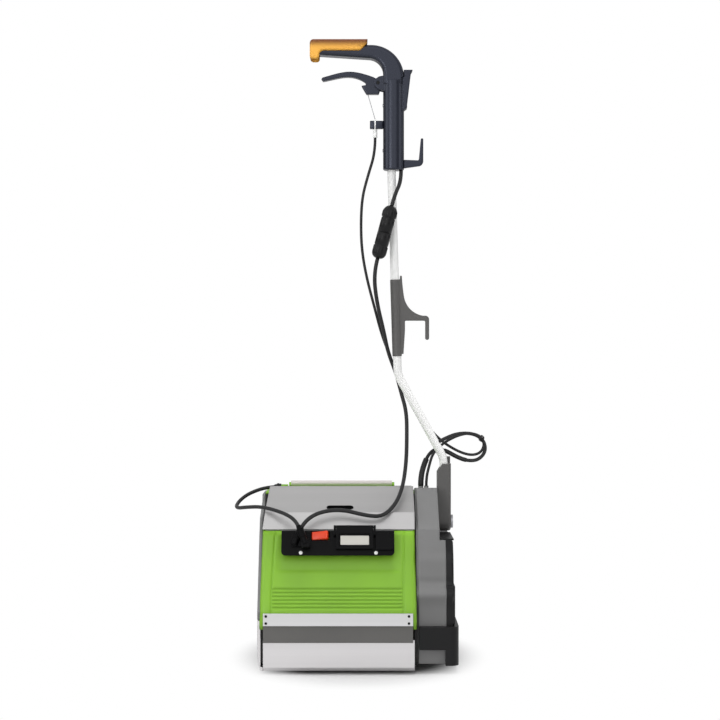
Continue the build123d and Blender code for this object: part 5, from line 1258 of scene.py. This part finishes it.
# %% Moulded plastics
plastics = {
    "green_plastic": dict(tone=(126, 177, 46), gloss=0.34, radius=3.0),
    "grey_plastic": dict(tone=(107, 107, 107), gloss=0.36, radius=4.0, shine=0.7),
    "dark_grey_plastic": dict(tone=(92, 91, 90), gloss=0.44, radius=2.5),
    "black_plastic": dict(tone=(24, 24, 25), gloss=0.32, radius=2.0, rub=1.8, shine=0.2),
    "box_black": dict(tone=(13, 13, 14), gloss=0.28, radius=2.5, rub=1.8, shine=0.06),
    "navy_plastic": dict(
        tone=(14, 16, 26), gloss=0.25, radius=4.0, rub=1.5, shine=0.62, sheen=(225, 232, 255)
    ),
    # The side plates take this finish too. Its dark tone is painted shade for the gaps at both ends
    # of the body, where their edges show.
    "black_paint": dict(tone=(22, 22, 22), gloss=0.40, radius=0.6, rub=1.6, shine=0.2),
    # The orange bar's brown top is painted shade.
    "orange_plastic": dict(
        tone=(255, 184, 74), gloss=0.36, radius=5.0, rub=1.05, painted_top_shade=((104, 52, 18), 1.098, 1.114)
    ),
    "switch_red": dict(tone=(222, 64, 26), gloss=0.30, radius=1.5),
    "tank_plastic": dict(tone=(224, 226, 222), gloss=0.46, radius=3.0),
    "core_plastic": dict(tone=(70, 72, 74), gloss=0.5, radius=1.0),
    "gear_plastic": dict(tone=(228, 224, 208), gloss=0.40, radius=0.6),
    "motor_paint": dict(tone=(58, 60, 64), gloss=0.45, radius=2.0),
}
finishes = {name: moulded(name, **look) for name, look in plastics.items()}
print("moulded finishes", len(finishes))

# %% [markdown]
# ### Sheet metal
# The two lids, the clamp strips and the lower panels are rolled sheet. Bare metal has no body
# colour of its own, only a tinted reflection, so its Metallic is 1 and the base colour is how
# bright the reflection is. A lacquered or blasted sheet also scatters light like paint, so its
# Metallic is lower.

# %% Helper for sheet metals
belt_gloss = (-0.06, 0.08)


def rolled(name, tone, gloss, radius=1.0, fineness=700.0, depth=0.004, drift=0.08, metal=1.0):
    material, tree, shader = new_finish(name, Metallic=metal)
    edges = add(tree, "Group", {"Radius": radius * MM}, node_tree=soft_edges)
    surface = add(tree, "Group", {"Fineness": fineness}, node_tree=belt_lines)
    low, high = colour(tone, 1 - drift), colour(tone, 1 + drift)
    seen_tone = blended(tree, surface.outputs["Tone"], low, high)
    rough = ranged(tree, surface.outputs["Height"], *(gloss + change for change in belt_gloss))
    wire(tree, (seen_tone, shader.inputs["Base Color"]), (rough, shader.inputs["Roughness"]))
    relief(tree, shader, surface.outputs["Height"], edges.outputs["Normal"], depth * MM)
    return material


# %% Sheet metals
metals = {
    "bright_metal": dict(tone=(174, 173, 173), gloss=0.34, radius=2.5, metal=0.7),
    "strip_metal": dict(tone=(212, 212, 213), gloss=0.40, metal=0.6),
    "pale_panel": dict(tone=(208, 206, 207), gloss=0.42, radius=2.0),
    "satin_metal": dict(tone=(200, 194, 192), gloss=0.52, metal=0.35),
    "blank_plate": dict(tone=(192, 190, 183), gloss=0.55, metal=0.3),
    "steel": dict(tone=(168, 168, 172), gloss=0.32, fineness=400.0),
    "bush_brass": dict(tone=(204, 168, 92), gloss=0.30, fineness=400.0),
}
finishes.update({name: rolled(name, **look) for name, look in metals.items()})
print("metals", len(metals))

# %% [markdown]
# ### Paint, rubber and bristle
# The tube is painted a smooth white. The skirt is matt rubber with a coarse grain, the leads are
# softer rubber with a little gloss, and the bristles are drawn nylon. The moulded finish serves
# for all of them, with other values.

# %% Paint, rubber and bristle
others = {
    "white_paint": dict(tone=(250, 250, 249), gloss=0.26, drift=0.01, depth=0.001),
    "grey_rubber": dict(tone=(104, 103, 101), gloss=0.68, radius=1.0, depth=0.05),
    "lead_rubber": dict(tone=(30, 30, 31), gloss=0.46, radius=0.5, depth=0.03),
    "bristle": dict(tone=(63, 63, 65), gloss=0.40, radius=0.3),
}
finishes.update({name: moulded(name, **look) for name, look in others.items()})
print("finishes", len(finishes))

# %% [markdown]
# ### Finishes on the pieces
# The record names a finish for every solid piece, and each new piece was given its own when it was
# made, so two short loops lay them all on.

# %% Finishes on the pieces
def finished(piece, slot):
    if piece.material_slots:
        for holder in piece.material_slots:
            holder.material = finishes[slot]
    else:
        piece.data.materials.append(finishes[slot])


for row in frame["record"]["subparts"]:
    finished(nodes[row["node"]], row["material_slot"])
for piece in list(scene.objects):
    if "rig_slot" in piece:
        finished(piece, piece["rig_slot"])
